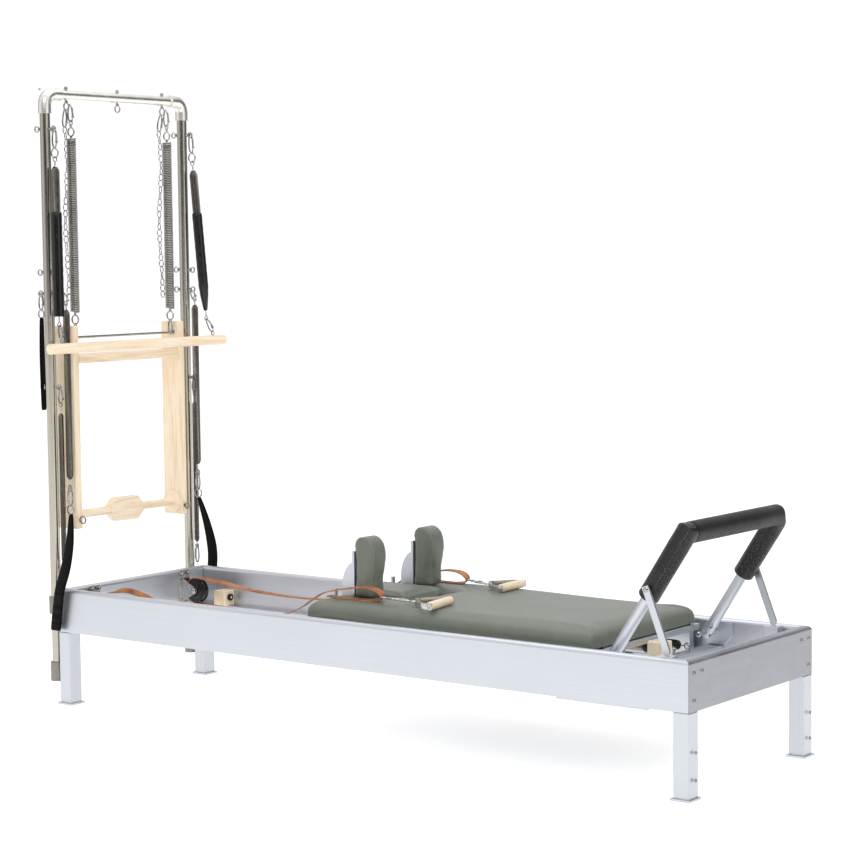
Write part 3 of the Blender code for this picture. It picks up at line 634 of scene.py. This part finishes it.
tower_chains = Shape()
for sign in SIDES.values():
    snap_hook(tower_chains, (TOWER_X - 0.006, sign * SPRING_Y, 1.916), (TOWER_X - 0.014, sign * 0.219, 1.858),
              Y)
    chain(tower_chains, (TOWER_X - 0.015, sign * 0.218, 1.860), (TOWER_X - 0.012, sign * 0.218, 1.300), 0.006)
tower_chains.fitting("tower_chains", "trapeze_springs")

HOOK_X, HOOK_Y = TOWER_X - 0.036, -POST_Y
hooks = Shape()
snap_hook(hooks, (HOOK_X - 0.002, HOOK_Y, 1.326), (HOOK_X - 0.002, HOOK_Y, 1.272), Y)
hooks.ring((HOOK_X - 0.002, HOOK_Y, 1.258), Y, 0.0125, 0.0024)
hooks.fitting("safety_strap_hook", "frame")
Shape().sweep(smooth_route([(HOOK_X + dx, HOOK_Y, z) for dx, z in (
    (-0.001, 1.248), (-0.004, 1.220), (-0.007, 1.12), (-0.005, 1.00), (-0.003, 0.955), (0.001, 0.950),
    (0.004, 0.958), (0.004, 1.00), (0.003, 1.12), (0.002, 1.220), (0.001, 1.246),
)], 6), bar_section(0.014, 0.0020, 0.0008), side=Y).piece(
    "safety_strap", black_webbing, "black_nylon", "frame")


# ---- trapeze springs and trapeze

for side, sign in SIDES.items():
    y = sign * SPRING_Y

    def at_spring(z):
        return SPRING_X, y, z

    body = Shape()
    coil(body, at_spring(1.821), at_spring(1.262), 0.016, 0.0026, 0.0058, steps=16, sides=7)
    coil_piece = body.piece(f"trapeze_coil_{side}", spring_steel, "spring_steel",
                            replaces=[f"trapeze_spring_{side}"])
    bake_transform(coil_piece)
    upper = Shape()
    snap_hook(upper, (SPRING_X - 0.003, y, 1.930), at_spring(1.874), Y, 0.010)
    swivel_eye(upper, at_spring(1.872), DOWN, X, 0.0072)
    upper.ring(at_spring(1.842), Y, 0.0135, 0.0026)
    upper.tube([at_spring(1.830), at_spring(1.819)], 0.004, 10)
    upper.fitting(f"trapeze_hook_{side}", "trapeze_springs")
    lower = Shape()
    lower.ring(at_spring(1.238), Y, 0.0145, 0.0026)
    lower.tube([at_spring(1.251), at_spring(1.264)], 0.004, 10)
    snap_hook(lower, at_spring(1.226), at_spring(1.176), X, 0.008)
    lower.fitting(f"trapeze_link_{side}", "trapeze_rod")

rod_ends = Shape()
stile_low, stile_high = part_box("trapeze_stile_far")
for sign in SIDES.values():
    washer(rod_ends, (SPRING_X, sign * (stile_high.y + 0.0003), ROD_Z), (0, sign, 0), 0.009)
    hex_nut(rod_ends, (SPRING_X, sign * (stile_high.y + 0.0015), ROD_Z), (0, sign, 0), 0.0072, 0.0055)
    washer(rod_ends, (SPRING_X, sign * (stile_low.y - 0.0003), ROD_Z), (0, -sign, 0), 0.009)
rod_ends.fitting("trapeze_rod_nuts", "trapeze_rod")

trapeze_eyes = Shape()
for sign in SIDES.values():
    eyebolt(trapeze_eyes, (stile_high.x + 0.015, sign * 0.2475, 0.590), (-1, 0, 0), 0.098, radius=0.0115,
            wire=0.0026)
trapeze_eyes.fitting("trapeze_eyebolts", "trapeze")


# ---- arm springs and roll-down bar

for side, sign in SIDES.items():
    top, bottom = Vector((-1.137, sign * 0.316, 1.828)), Vector((-1.1035, sign * 0.3455, 1.200))
    down = (bottom - top).normalized()

    def at_height(z):
        return top.lerp(bottom, (top.z - z) / (top.z - bottom.z))

    body = Shape()
    coil(body, at_height(1.728), at_height(1.575), 0.0145, 0.0015, 0.0033, taper_top=0.018)
    coil_piece = body.piece(f"arm_coil_{side}", dark_spring_steel, "spring_steel",
                            replaces=[f"arm_spring_{side}"])
    closing, sleeve = (0.38, 0.0168) if side == "far" else (1.04, 0.0174)
    profile = [(0, 0.0140), (0.002, sleeve - 0.0005), (0.010, sleeve)]
    length = (at_height(1.252) - at_height(1.584)).length
    for k in range(1, 24):
        part = k / 24
        draw = 1 - (1 - closing) * max(0, (part - 0.72) / 0.28) ** 1.6
        profile.append((0.010 + (length - 0.012) * part, (sleeve + 0.0004 * sin(part * 61)) * draw))
    profile += [(length - 0.001, sleeve * closing), (length, 0.0140 * closing)]
    cover_piece = Shape().lathe(at_height(1.584), down, profile, 28).piece(
        f"arm_sleeve_{side}", sleeve_vinyl, "black_rubber", crease=60)
    for piece in (coil_piece, cover_piece):
        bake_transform(piece)
    upper = Shape()
    snap_hook(upper, top + Vector((0, 0, 0.026)), at_height(1.788), Y, 0.009)
    upper.ring(at_height(1.771), Y, 0.0150, 0.0023)
    hooked_end(upper, at_height(1.760), down, 0.008, 0.0018, X, 0.014)
    upper.fitting(f"arm_hook_{side}", "arm_springs")
    lower = Shape()
    hooked_end(lower, at_height(1.218), -down, 0.0075, 0.0018, X, 0.020)
    bar_eye = Vector((-1.085, sign * 0.354, 1.1755))
    snap_hook(lower, at_height(1.224), bar_eye + Vector((-0.001, 0, 0.004)), Y, 0.008)
    lower.ring(bar_eye, Y, 0.0065, 0.0018)
    lower.tube([bar_eye - Vector((0, 0, 0.006)), bar_eye - Vector((0, 0, 0.016))], 0.002, 8)
    lower.fitting(f"arm_link_{side}", "rolldown_bar")


# ---- leg springs, light springs and loops


def coiled(kind, side, top, bottom, radius, wire, pitch, taper):
    body, node_name = Shape(), f"{kind}_spring_{side}"
    coil(body, top, bottom, radius, wire, pitch, taper, taper)
    body.piece(f"{kind}_coil_{side}", dark_spring_steel, "spring_steel", node_name, replaces=[node_name])


for side, sign in SIDES.items():
    x, y = -1.117, sign * 0.301
    coiled("leg", side, (x, y, 1.272), (x, y, 0.728), 0.012, 0.0013, 0.0029, 0.014)
    hook = Shape()
    snap_hook(hook, (x - 0.012, y - sign * 0.006, 1.326), (x, y, 1.290), Y, 0.008)
    hooked_end(hook, (x, y, 1.300), DOWN, 0.0075, 0.0017, X, 0.014)
    hooked_end(hook, (x, y, 0.690), Z, 0.0090, 0.0018, Y, 0.020)
    snap_hook(hook, (x, y, 0.704), (x, y, 0.640), X, 0.009)
    hook.ring((x, y, 0.628), Y, 0.0150, 0.0024)
    hook.fitting(f"leg_hook_{side}", f"leg_spring_{side}")

    x, y = -1.139, sign * 0.314
    coiled("light", side, (x, y, 0.940), (x, y, 0.458), 0.009, 0.0009, 0.0021, 0.010)
    hook = Shape()
    snap_hook(hook, (x, y, 1.026), (x, y, 0.972), Y, 0.008)
    hooked_end(hook, (x, y, 0.976), DOWN, 0.007, 0.0015, X, 0.016)
    hooked_end(hook, (x, y, 0.436), Z, 0.007, 0.0015, Y, 0.012)
    snap_hook(hook, (x, y, 0.446), (x, y, 0.386), X, 0.008)
    hook.fitting(f"light_hook_{side}", f"light_spring_{side}")

    loop = [(-1.148, 0.302, 0.612), (-1.134, 0.325, 0.520), (-1.134, 0.347, 0.440), (-1.146, 0.361, 0.375),
            (-1.160, 0.361, 0.300), (-1.170, 0.359, 0.252)]
    loop = [Vector((MIDDLE_X + px, sign * py, pz)) for px, py, pz in loop]
    gap = Vector((0, sign * 0.0035, 0))
    fold = loop[-1] + Vector((-0.001, 0, -0.008))
    route = smooth_route([p + gap for p in loop] + [fold] + [p - gap * 0.8 for p in reversed(loop)], 5)
    widths = [0.30 + 0.70 * min(1.0, max(0.0, route[0].z - p.z) / 0.16) ** 0.7 for p in route]
    Shape().sweep(route, bar_section(0.037, 0.0040, 0.0014), side=X, scale=widths).piece(
        f"leg_band_{side}", black_webbing, "black_nylon", f"leg_spring_{side}", replaces=[f"leg_loop_{side}"])


# ---- bed hardware

bed_screws = Shape()
plate_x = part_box("end_plate_foot")[1].x
for y, z in ((-0.314, 0.340), (-0.273, 0.340), (-0.314, 0.266), (0.280, 0.341), (0.322, 0.341),
             (0.323, 0.265)):
    screw(bed_screws, (plate_x, y, z), X, 0.0060, 0.003)
for side, sign in SIDES.items():
    face_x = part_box(f"leg_foot_{side}")[1].x
    for z in (0.129, 0.055):
        screw(bed_screws, (face_x, sign * 0.318, z), X, 0.0052, 0.0025)
bed_screws.piece("bed_screws", brass, "fitting_steel", "frame")

frame_fittings = Shape()
for side, sign in SIDES.items():
    for offset in (-0.015, 0.015):
        plate_face = (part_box(f"pulley_bracket_{side}")[0].x + 0.0042, sign * STRAP_Y + offset, 0.3615)
        washer(frame_fittings, plate_face, X, 0.0088)
        hex_nut(frame_fittings, Vector(plate_face) + Vector((0.0014, 0, 0)), X, 0.0072, 0.0055)
    for offset in (-0.0163, 0.0163):
        hex_nut(frame_fittings, (PULLEY.x, sign * STRAP_Y + offset, PULLEY.z), (0, offset, 0), 0.0092, 0.0055)
    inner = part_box("footbar_bracket_far")[0].y
    for x, z in ((0.873, 0.361), (0.940, 0.361), (0.936, 0.336)):
        screw(frame_fittings, (x, sign * inner, z), (0, -sign, 0), 0.0055, 0.003)
    screw(frame_fittings, (0.915, sign * (inner - 0.03), 0.341), (0, -sign, 0), 0.0085, 0.005)
frame_fittings.fitting("bed_fittings", "frame")

for side, sign in SIDES.items():
    low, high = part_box(f"pulley_{side}")
    rims = Shape()
    for face, way in ((low.y, -1), (high.y, 1)):
        rims.lathe((PULLEY.x, face - way * 0.001, PULLEY.z), (0, way, 0), [
            (0, 0.0400), (0.0016, 0.0396), (0.0022, 0.0385), (0.0022, 0.0345), (0.0012, 0.0335),
            (0.0012, 0.0250), (0.0020, 0.0240), (0.0020, 0.0150), (0.0012, 0.0140), (0.0012, 0.0085),
        ], 48)
    rims.piece(f"pulley_rims_{side}", black_nylon, "black_nylon", f"pulley_{side}")
    Shape().lathe((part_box(f"head_stop_{side}")[1].x - 0.0115, sign * 0.2846, 0.282), X, [
        (0, 0.0118), (0.0095, 0.0118), (0.0118, 0.0105), (0.0125, 0.0075), (0.0125, 0.0046), (0.0095, 0.0042),
    ], 28).piece(f"head_bumper_{side}", black_rubber, "black_rubber", "frame")

rivets = Shape()
for sign in SIDES.values():
    for face, way in ((0.2885, -1), (0.2965, 1)):
        rivets.lathe((1.049, sign * face, 0.545), (0, sign * way, 0),
                     [(-0.0005, 0.0075), (0.0012, 0.0072), (0.003, 0.005), (0.0036, 0.001)], 20)
rivets.fitting("prop_rivets", "footbar")

TRAY = [(0.783, -0.332), (1.073, -0.332), (1.073, -0.300), (0.783, -0.300)]
Shape().skin([[(x, y, z) for x, y in TRAY] for z in (0.2285, 0.2350)]).piece(
    "rail_tray", aluminium_x, "bed_aluminium", "frame", bevel=0.001)


# ---- carriage springs

SPRING_ANCHOR_X, SPRING_END_X, SPRING_Z = 0.905, 0.300, 0.3125
covers, spring_posts = Shape(), Shape()
for index, y in enumerate((-0.165, -0.082, 0.082, 0.165)):
    start, end = (SPRING_ANCHOR_X - 0.030, y, SPRING_Z), (SPRING_END_X, y, SPRING_Z)
    body = Shape()
    coil(body, start, end, 0.0125, 0.0013, 0.0030, 0.010, 0.010)
    hooked_end(body, (SPRING_ANCHOR_X + 0.006, y, SPRING_Z), (-1, 0, 0), 0.009, 0.002, Y, 0.022)
    piece = body.piece(f"carriage_spring_{index + 1}", spring_steel, "spring_steel")
    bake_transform(piece)
    covers.lathe((0.812, y, SPRING_Z), X, [
        (0, 0.0130), (0.002, 0.0148), (0.052, 0.0148), (0.060, 0.0135), (0.064, 0.0100),
    ], 24)
    spring_posts.lathe((SPRING_ANCHOR_X + 0.002, y, 0.296), Z,
                       [(0, 0.004), (0.018, 0.004), (0.019, 0.008), (0.0225, 0.008), (0.024, 0.006)], 16)
covers.piece("carriage_spring_covers", black_rubber, "black_rubber", "frame")
spring_posts.fitting("carriage_spring_posts", "frame")


# ---- pull straps

STRAP_WIDTH, STRAP_THICK = 0.022, 0.003
STRAP_SECTION = bar_section(STRAP_WIDTH, STRAP_THICK, 0.0011)
WRAP_RADIUS = 0.04312
LOWER_RUN = [(-0.161, 0.3395), (-0.195, 0.3300), (-0.260, 0.2830), (-0.360, 0.2560), (-0.700, 0.2540)]
BUNCH_X = -0.997                # the straps close up toward here, clear of the pulleys, as the carriage comes
LEAVING = {"near": [(-0.990, 0.3655), (-0.948, 0.3675), (-0.892, 0.358), (-0.815, 0.339)],
           "far": [(-0.927, 0.343), (-0.817, 0.329)]}
TO_PAD = [(-0.617, 0.320), (-0.417, 0.328), (-0.297, 0.349), (-0.229, 0.374), (-0.182, 0.402),
          (-0.137, 0.428), (-0.083, 0.442), (-0.027, 0.452), (0.013, 0.458), (0.053, 0.457), (0.078, 0.449),
          (0.089, 0.436), (0.079, 0.425), (0.048, 0.4205), (-0.007, 0.4202), (-0.067, 0.4202),
          (-0.117, 0.4208)]


def wrap_point(degrees):
    return PULLEY.x + WRAP_RADIUS * cos(radians(degrees)), PULLEY.z + WRAP_RADIUS * sin(radians(degrees))


ROLLS = {"near": [(-1.05, 0), (-0.98, 34), (-0.88, 30), (-0.60, 12), (-0.30, 12), (-0.12, 4), (0.03, 6),
                  (0.10, 24)],
         "far": [(-1.05, 0), (-0.96, 20), (-0.85, 10), (-0.60, 1), (-0.12, 4), (0.03, 6), (0.10, 24)]}


def strap_roll(side, x):
    """How far the strap leans over toward the near side, in degrees, between the pulley and the pad."""
    rolls = ROLLS[side]
    for (x0, roll0), (x1, roll1) in zip(rolls, rolls[1:]):
        if x < x1:
            part = min(1.0, max(0.0, (x - x0) / (x1 - x0)))
            return roll0 + (roll1 - roll0) * part * part * (3 - 2 * part)
    return rolls[-1][1]


WRAP = [wrap_point(-95 - 172 * k / 20) for k in range(21)]
for side, sign in SIDES.items():
    y = sign * STRAP_Y

    def strap_piece(name, points, body):
        """Part of the strap, through (x, z, roll) points."""
        return Shape().sweep([(px, y, pz) for px, pz, _ in points], STRAP_SECTION,
                             side=[(0, cos(radians(roll)), sin(radians(roll))) for *_, roll in points]).piece(
            f"strap_{name}_{side}", strap_leather, "strap_leather", body)

    upper = [(*p, strap_roll(side, p.x)) for p in smooth_route([*WRAP[-2:], *LEAVING[side], *TO_PAD], 7)][7:]
    lower = [(*p, 0) for p in smooth_route([*LOWER_RUN, *WRAP[:2]], 8)][:-8]
    edge = next(k for k, (px, *_) in enumerate(upper) if px > CARRIAGE_HEAD_X)
    leaves = next(k for k, (px, *_) in enumerate(upper) if px > BUNCH_X)
    arrives = next(k for k, (px, *_) in enumerate(lower) if px < BUNCH_X)
    turned = [(*p, 0) for p in WRAP]
    strap_piece("wrap", [*lower[arrives:-1], *turned, *upper[1:leaves + 1]], "frame")
    for name, points in (("lower", lower[:arrives + 1]), ("upper", upper[leaves:edge + 1])):
        piece = strap_piece(name, points, "frame")
        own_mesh(piece)
    loop_piece = strap_piece("loop", upper[edge:], "carriage")
    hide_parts(f"strap_{side}")


# ---- handles

HANDLES = {"near": (0.291, -0.200, 8), "far": (0.268, 0.194, 3)}
HANDLE_Z = 0.4315
for side, (hx, hy, turned) in HANDLES.items():
    place = Matrix.Translation((hx, hy, HANDLE_Z)) @ Matrix.Rotation(radians(turned), 4, "Z")
    turn = place.to_3x3()
    Shape().lathe(place @ Vector((0, -0.0635, 0)), turn @ Vector(Y), [
        (0, 0.0105), (0.0012, 0.0122), (0.004, 0.0127), (0.0635, 0.0132), (0.123, 0.0127), (0.1258, 0.0122),
        (0.127, 0.0105),
    ], 32).piece(f"handle_grip_{side}", maple_y, "maple", "carriage", replaces=[f"handle_{side}"])
    steel = Shape()
    half = [(0.010, -0.0665), (-0.012, -0.0665), (-0.030, -0.060), (-0.052, -0.034), (-0.068, -0.014),
            (-0.078, -0.005)]
    outline = [*half, (-0.080, 0.0), *((px, -py) for px, py in reversed(half))]
    steel.sweep([place @ p for p in smooth_route([(px, py, 0) for px, py in outline], 3)],
                bar_section(0.0190, 0.0028, 0.0009), side=Z)
    for end in (-1, 1):
        screw(steel, place @ Vector((0, end * 0.0676, 0)), turn @ Vector((0, end, 0)), 0.006, 0.003)
    start = place @ Vector((-0.080, 0, 0))
    steel.ring(start + turn @ Vector((-0.007, 0, 0)), Z, 0.0095, 0.0020)
    neck = start + turn @ Vector((-0.016, 0, 0))
    tip = Vector((0.0945, SIDES[side] * STRAP_Y, 0.4335))
    toward = tip - neck
    snap_hook(steel, neck + toward * 0.06, neck + toward * 0.62, Z, 0.0085)
    swivel_eye(steel, neck + toward * 0.66, toward, Z, 0.007)
    steel.ring(tip + Vector((0.006, 0, -0.0005)), (0, 0.25, 1), 0.0155, 0.0022)
    steel.piece(f"handle_steel_{side}", fitting_steel, "fitting_steel", "carriage")


# ---- upholstery

CLOTH_FRAMES, CLOTH_PRESSURE = 20, 4.0


def applied(obj):
    """The object's mesh with its modifiers applied."""
    bpy.context.view_layer.update()
    mesh = bpy.data.meshes.new_from_object(obj.evaluated_get(bpy.context.evaluated_depsgraph_get()))
    obj.modifiers.clear()
    obj.data = mesh
    return obj


def upholster(name, node_name, foam, voxel, cap, base_z=None, body="carriage"):
    """Covers a slightly undersized foam shape: remeshes it, blows it up by simulation, and smooths it."""
    pad = foam.piece(name, sage_vinyl, "vinyl")
    remesh = pad.modifiers.new("remesh", "REMESH")
    remesh.mode = "VOXEL"
    remesh.voxel_size = voxel
    relax = pad.modifiers.new("relax", "SMOOTH")
    relax.iterations = 4
    applied(pad)
    if base_z is not None:
        rest = pad.vertex_groups.new(name="rest")
        rest.add([v.index for v in pad.data.vertices if v.co.z < base_z + voxel], 1.0, "REPLACE")
    before = [v.co.copy() for v in pad.data.vertices]
    cloth = pad.modifiers.new("cloth", "CLOTH")
    cloth.settings.use_pressure = True
    cloth.settings.uniform_pressure_force = CLOTH_PRESSURE
    cloth.settings.effector_weights.gravity = 0
    cloth.settings.quality = 4
    if base_z is not None:
        cloth.settings.vertex_group_mass = "rest"
    cloth.point_cache.frame_start, cloth.point_cache.frame_end = 1, CLOTH_FRAMES
    scene = bpy.context.scene
    for step in range(1, CLOTH_FRAMES + 1):
        scene.frame_set(step)
    after = pad.evaluated_get(bpy.context.evaluated_depsgraph_get()).data
    moves = [v.co - b for v, b in zip(after.vertices, before)]
    pad.modifiers.clear()
    for vertex, start, move in zip(pad.data.vertices, before, moves):
        vertex.co = start + move * min(1.0, cap / max(move.length, 1e-9))
    scene.frame_set(1)
    smooth = pad.modifiers.new("smooth", "SMOOTH")
    smooth.iterations = 2
    pad.modifiers.new("fine", "SUBSURF").render_levels = 1
    pad.modifiers["fine"].levels = 1
    applied(pad)
    shade_smooth(pad.data)
    pad.vertex_groups.clear()
    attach(pad, body)
    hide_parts(node_name)
    return pad


def rounded_outline(corners):
    """A closed outline through corners (x, y, radius), each rounded by its radius."""
    outline, n, steps = [], len(corners), 6
    for k, (x, y, radius) in enumerate(corners):
        here = Vector((x, y))
        before = (Vector(corners[k - 1][:2]) - here).normalized()
        after = (Vector(corners[(k + 1) % n][:2]) - here).normalized()
        start, end = here + before * radius, here + after * radius
        for step in range(steps + 1):
            t = step / steps
            outline.append(start * (1 - t) ** 2 + here * 2 * t * (1 - t) + end * t**2)
    return outline


def inset(outline, distance):
    """The outline moved inward."""
    n, moved = len(outline), []
    turn = sum(a.x * b.y - b.x * a.y for a, b in zip(outline, outline[1:] + outline[:1]))
    for k, point in enumerate(outline):
        along = outline[(k + 1) % n] - outline[k - 1]
        normal = Vector((-along.y, along.x)).normalized() * (1 if turn > 0 else -1)
        moved.append(point + normal * distance)
    return moved


def cushion(outline, levels, place=Matrix()):
    """Foam with rounded edges: each level is (height, inset)."""
    return Shape().skin([
        [place @ Vector((p.x, p.y, height)) for p in inset(outline, distance)] for height, distance in levels
    ])


pad_outline = rounded_outline([
    (-0.155, -0.285, 0.022), (0.875, -0.285, 0.030), (0.875, 0.285, 0.030), (-0.155, 0.285, 0.022),
    (-0.155, 0.108, 0.012), (0.0935, 0.108, 0.012), (0.0935, -0.108, 0.012), (-0.155, -0.108, 0.012),
])
PAD_LEVELS = [(0.3605, 0.004), (0.366, 0.0015), (0.384, 0.0015), (0.395, 0.005), (0.404, 0.012),
              (0.4105, 0.023), (0.4135, 0.038)]
upholster("carriage_cover", "carriage_pad", cushion(pad_outline, PAD_LEVELS), 0.006, 0.005, PAD_BASE_Z)

headrest_outline = rounded_outline([
    (-0.153, -0.100, 0.018), (0.083, -0.100, 0.014), (0.083, 0.100, 0.014), (-0.153, 0.100, 0.018),
])
HEADREST_LEVELS = [(0.3925, 0.004), (0.396, 0.0015), (0.412, 0.0015), (0.420, 0.005), (0.4255, 0.013)]
upholster("headrest_cover", "headrest", cushion(headrest_outline, HEADREST_LEVELS), 0.005, 0.004,
          HEADREST_LEVELS[0][0], "headrest")

REST_PROFILE = [(0.0, 0.4195), (0.0, 0.570), (0.004, 0.588), (0.016, 0.600), (0.034, 0.603), (0.052, 0.598),
                (0.067, 0.584), (0.075, 0.562), (0.0765, 0.535), (0.073, 0.505), (0.068, 0.470),
                (0.067, 0.440), (0.0665, 0.4195)]
REST_BACK_X, REST_Y, REST_HALF = -0.0467, 0.145, 0.035
for side, sign in SIDES.items():
    outline = [Vector((REST_BACK_X + dx, z)) for dx, z in REST_PROFILE]
    stand = Matrix.Translation((0, sign * REST_Y, 0)) @ Matrix.Rotation(pi / 2, 4, "X")
    rounding = [(0.0015, 0.007), (0.004, 0.003), (0.009, 0.0012)]
    levels = [(-REST_HALF + depth, distance) for depth, distance in rounding]
    levels += [(REST_HALF - depth, distance) for depth, distance in reversed(rounding)]
    foam = cushion(outline, levels, stand)
    rest = upholster(f"shoulder_cover_{side}", f"shoulder_pad_{side}", foam, 0.0045, 0.004)
    mesh = rest.data
    surface = BVHTree.FromPolygons([v.co for v in mesh.vertices], [p.vertices[:] for p in mesh.polygons])
    seams = Shape()
    for edge in (-1, 1):
        welt = []
        for point in smooth_route(outline[1:-1], 4):
            ideal = Vector((point.x, sign * REST_Y + edge * (REST_HALF - 0.0055), point.y))
            found, normal, _, _ = surface.find_nearest(ideal)
            welt.append(found + normal * 0.0002)
        seams.tube(welt, 0.0011, 8)
    # The welts take the paler seam vinyl, a painted highlight along the crease.
    seams.piece(f"shoulder_seams_painted_highlight_{side}", seam_vinyl_painted_highlight, "vinyl", "carriage")


# ---- foot bar padding

FOOTBAR_PIVOT = Vector((0.915, 0, 0.341))
LEAN, FOOTBAR_LENGTH, FOOTBAR_Y = radians(33.3), 0.429, 0.257
rise = Vector((sin(LEAN), 0, cos(LEAN)))


def footbar_point(along, y):
    point = FOOTBAR_PIVOT + rise * along
    return Vector((point.x, y, point.z))


PAD_START, SLEEVE_RADIUS, FAR_CUT = 0.212, 0.0297, 0.030
flat = rise.cross(Vector(Y)).normalized()
near_corner, far_corner = footbar_point(FOOTBAR_LENGTH, -FOOTBAR_Y), footbar_point(FOOTBAR_LENGTH, FOOTBAR_Y)
far_top, far_leg = far_corner - Vector((0, FAR_CUT, 0)), far_corner - rise * FAR_CUT
halfway = (far_top + far_leg) / 2
LEG_SIZES = [0.90, 1.0, 1.0, 1.015, 1.0]


def leg_run(sign, end):
    start = footbar_point(PAD_START, sign * FOOTBAR_Y)
    return [start, *(start.lerp(end, part) for part in (0.02, 0.5, 0.85)), end]


grips = Shape()
tail = near_corner + Vector((0, 0.020, 0))
grips.mitred([*leg_run(-1, near_corner - rise * 0.012), near_corner, tail], flat, SLEEVE_RADIUS,
             scale=[*LEG_SIZES, 1.02, 0.97])
grips.mitred([*leg_run(1, far_leg), halfway + (far_corner - halfway) * 0.10], flat, SLEEVE_RADIUS,
             scale=[*LEG_SIZES, 1.0])
leg_grips = grips.piece("footbar_leg_grips", grip_vinyl, "black_rubber", "footbar", crease=60,
                        replaces=["footbar_pad"])
top_grip = Shape().mitred([
    tail - Vector((0, 0.001, 0)), near_corner.lerp(far_top, 0.3), near_corner.lerp(far_top, 0.7), far_top,
    far_leg + rise * 0.004,
], flat, SLEEVE_RADIUS * 1.004).piece("footbar_top_grip", top_vinyl, "black_rubber", "footbar", crease=60)


# ---- floor, light and camera


def area_light(name, place, size, power):
    """A lamp that faces the machine's middle."""
    lamp = bpy.data.lights.new(name, "AREA")
    lamp.shape = "RECTANGLE"
    lamp.size, lamp.size_y = size
    lamp.energy = power
    obj = bpy.data.objects.new(name, lamp)
    obj.location = place
    obj.rotation_euler = (Vector((0.0, 0.0, 0.6)) - Vector(place)).to_track_quat("-Z", "Y").to_euler()
    bpy.context.scene.collection.objects.link(obj)


# The room that shows in polished metal: brightness around the horizon from -X, by -Y, +X and +Y, to -X.
ROOM = [(0.00, 0.40), (0.08, 0.75), (0.17, 0.90), (0.25, 0.45), (0.30, 0.06), (0.41, 0.06), (0.47, 0.70),
        (0.53, 0.85), (0.58, 0.30), (0.61, 0.12), (0.69, 0.12), (0.76, 0.60), (0.84, 0.90), (0.93, 0.70),
        (1.00, 0.40)]


def studio():
    bpy.ops.mesh.primitive_plane_add(size=60, location=(0, 0, 0))
    floor = bpy.context.object
    floor.name = "floor"
    material, tree, shader = new_finish("floor_white", specular_ior_level=0.1, roughness=0.8,
                                         emission_color=WHITE, emission_strength=0.62)
    tree.links.new(ramp(tree, grain(tree, 0.8), (0.3, grey(206)), (0.7, grey(210))),
                   shader.inputs["Base Color"])
    floor.data.materials.append(material)

    world = bpy.data.worlds.new("studio")
    bpy.context.scene.world = world
    world.use_nodes = True
    tree = world.node_tree
    tree.nodes.clear()
    direction = node(tree, "ShaderNodeTexCoord").outputs["Generated"]
    axes = node(tree, "ShaderNodeSeparateXYZ", {"Vector": direction})
    bearing = node(tree, "ShaderNodeMath", {0: axes.outputs["Y"], 1: axes.outputs["X"]}, operation="ARCTAN2")
    turn = node(tree, "ShaderNodeMapRange", {"Value": bearing.outputs[0], "From Min": -pi, "From Max": pi})
    panels = ramp(tree, turn.outputs["Result"], *[(at, (tone, tone, tone * 1.02, 1)) for at, tone in ROOM])
    height = spread(tree, axes.outputs["Z"], 0.0, 1.0, 0.35, 0.85)
    room = mix_colours(tree, height, panels, WHITE)
    seen = node(tree, "ShaderNodeBackground", {"Color": WHITE, "Strength": 1.05})
    mirrored = node(tree, "ShaderNodeBackground", {"Color": room, "Strength": 1.0})
    soft = node(tree, "ShaderNodeBackground", {"Color": WHITE, "Strength": 0.80})
    rays = node(tree, "ShaderNodeLightPath")
    lit = node(tree, "ShaderNodeMixShader",
               {0: rays.outputs["Is Glossy Ray"], 1: soft.outputs[0], 2: mirrored.outputs[0]})
    both = node(tree, "ShaderNodeMixShader",
                {0: rays.outputs["Is Camera Ray"], 1: lit.outputs[0], 2: seen.outputs[0]})
    node(tree, "ShaderNodeOutputWorld", {"Surface": both.outputs[0]})

    area_light("key", (2.2, -4.2, 4.2), (4.2, 3.0), 64)
    area_light("overhead", (-0.2, 0.6, 4.6), (5.0, 3.0), 52)
    area_light("fill", (4.6, -0.6, 2.4), (2.4, 2.4), 6)

    yaw, pitch, roll = 0.64777, 0.07981, -0.01086
    forward = Vector((-sin(yaw) * cos(pitch), cos(yaw) * cos(pitch), -sin(pitch)))
    right = Vector((cos(yaw), sin(yaw), 0))
    up = right.cross(forward)
    right, up = right * cos(roll) + up * sin(roll), up * cos(roll) - right * sin(roll)
    lens = bpy.data.cameras.new("camera")
    lens.lens, lens.sensor_width = 96.44, 36
    camera = bpy.data.objects.new("camera", lens)
    facing = Matrix((right, up, -forward)).transposed().to_4x4()
    camera.matrix_world = Matrix.Translation((4.263, -5.488, 1.4645)) @ facing
    bpy.context.scene.collection.objects.link(camera)
    bpy.context.scene.camera = camera
    bpy.context.scene.view_settings.view_transform = "Standard"


studio()
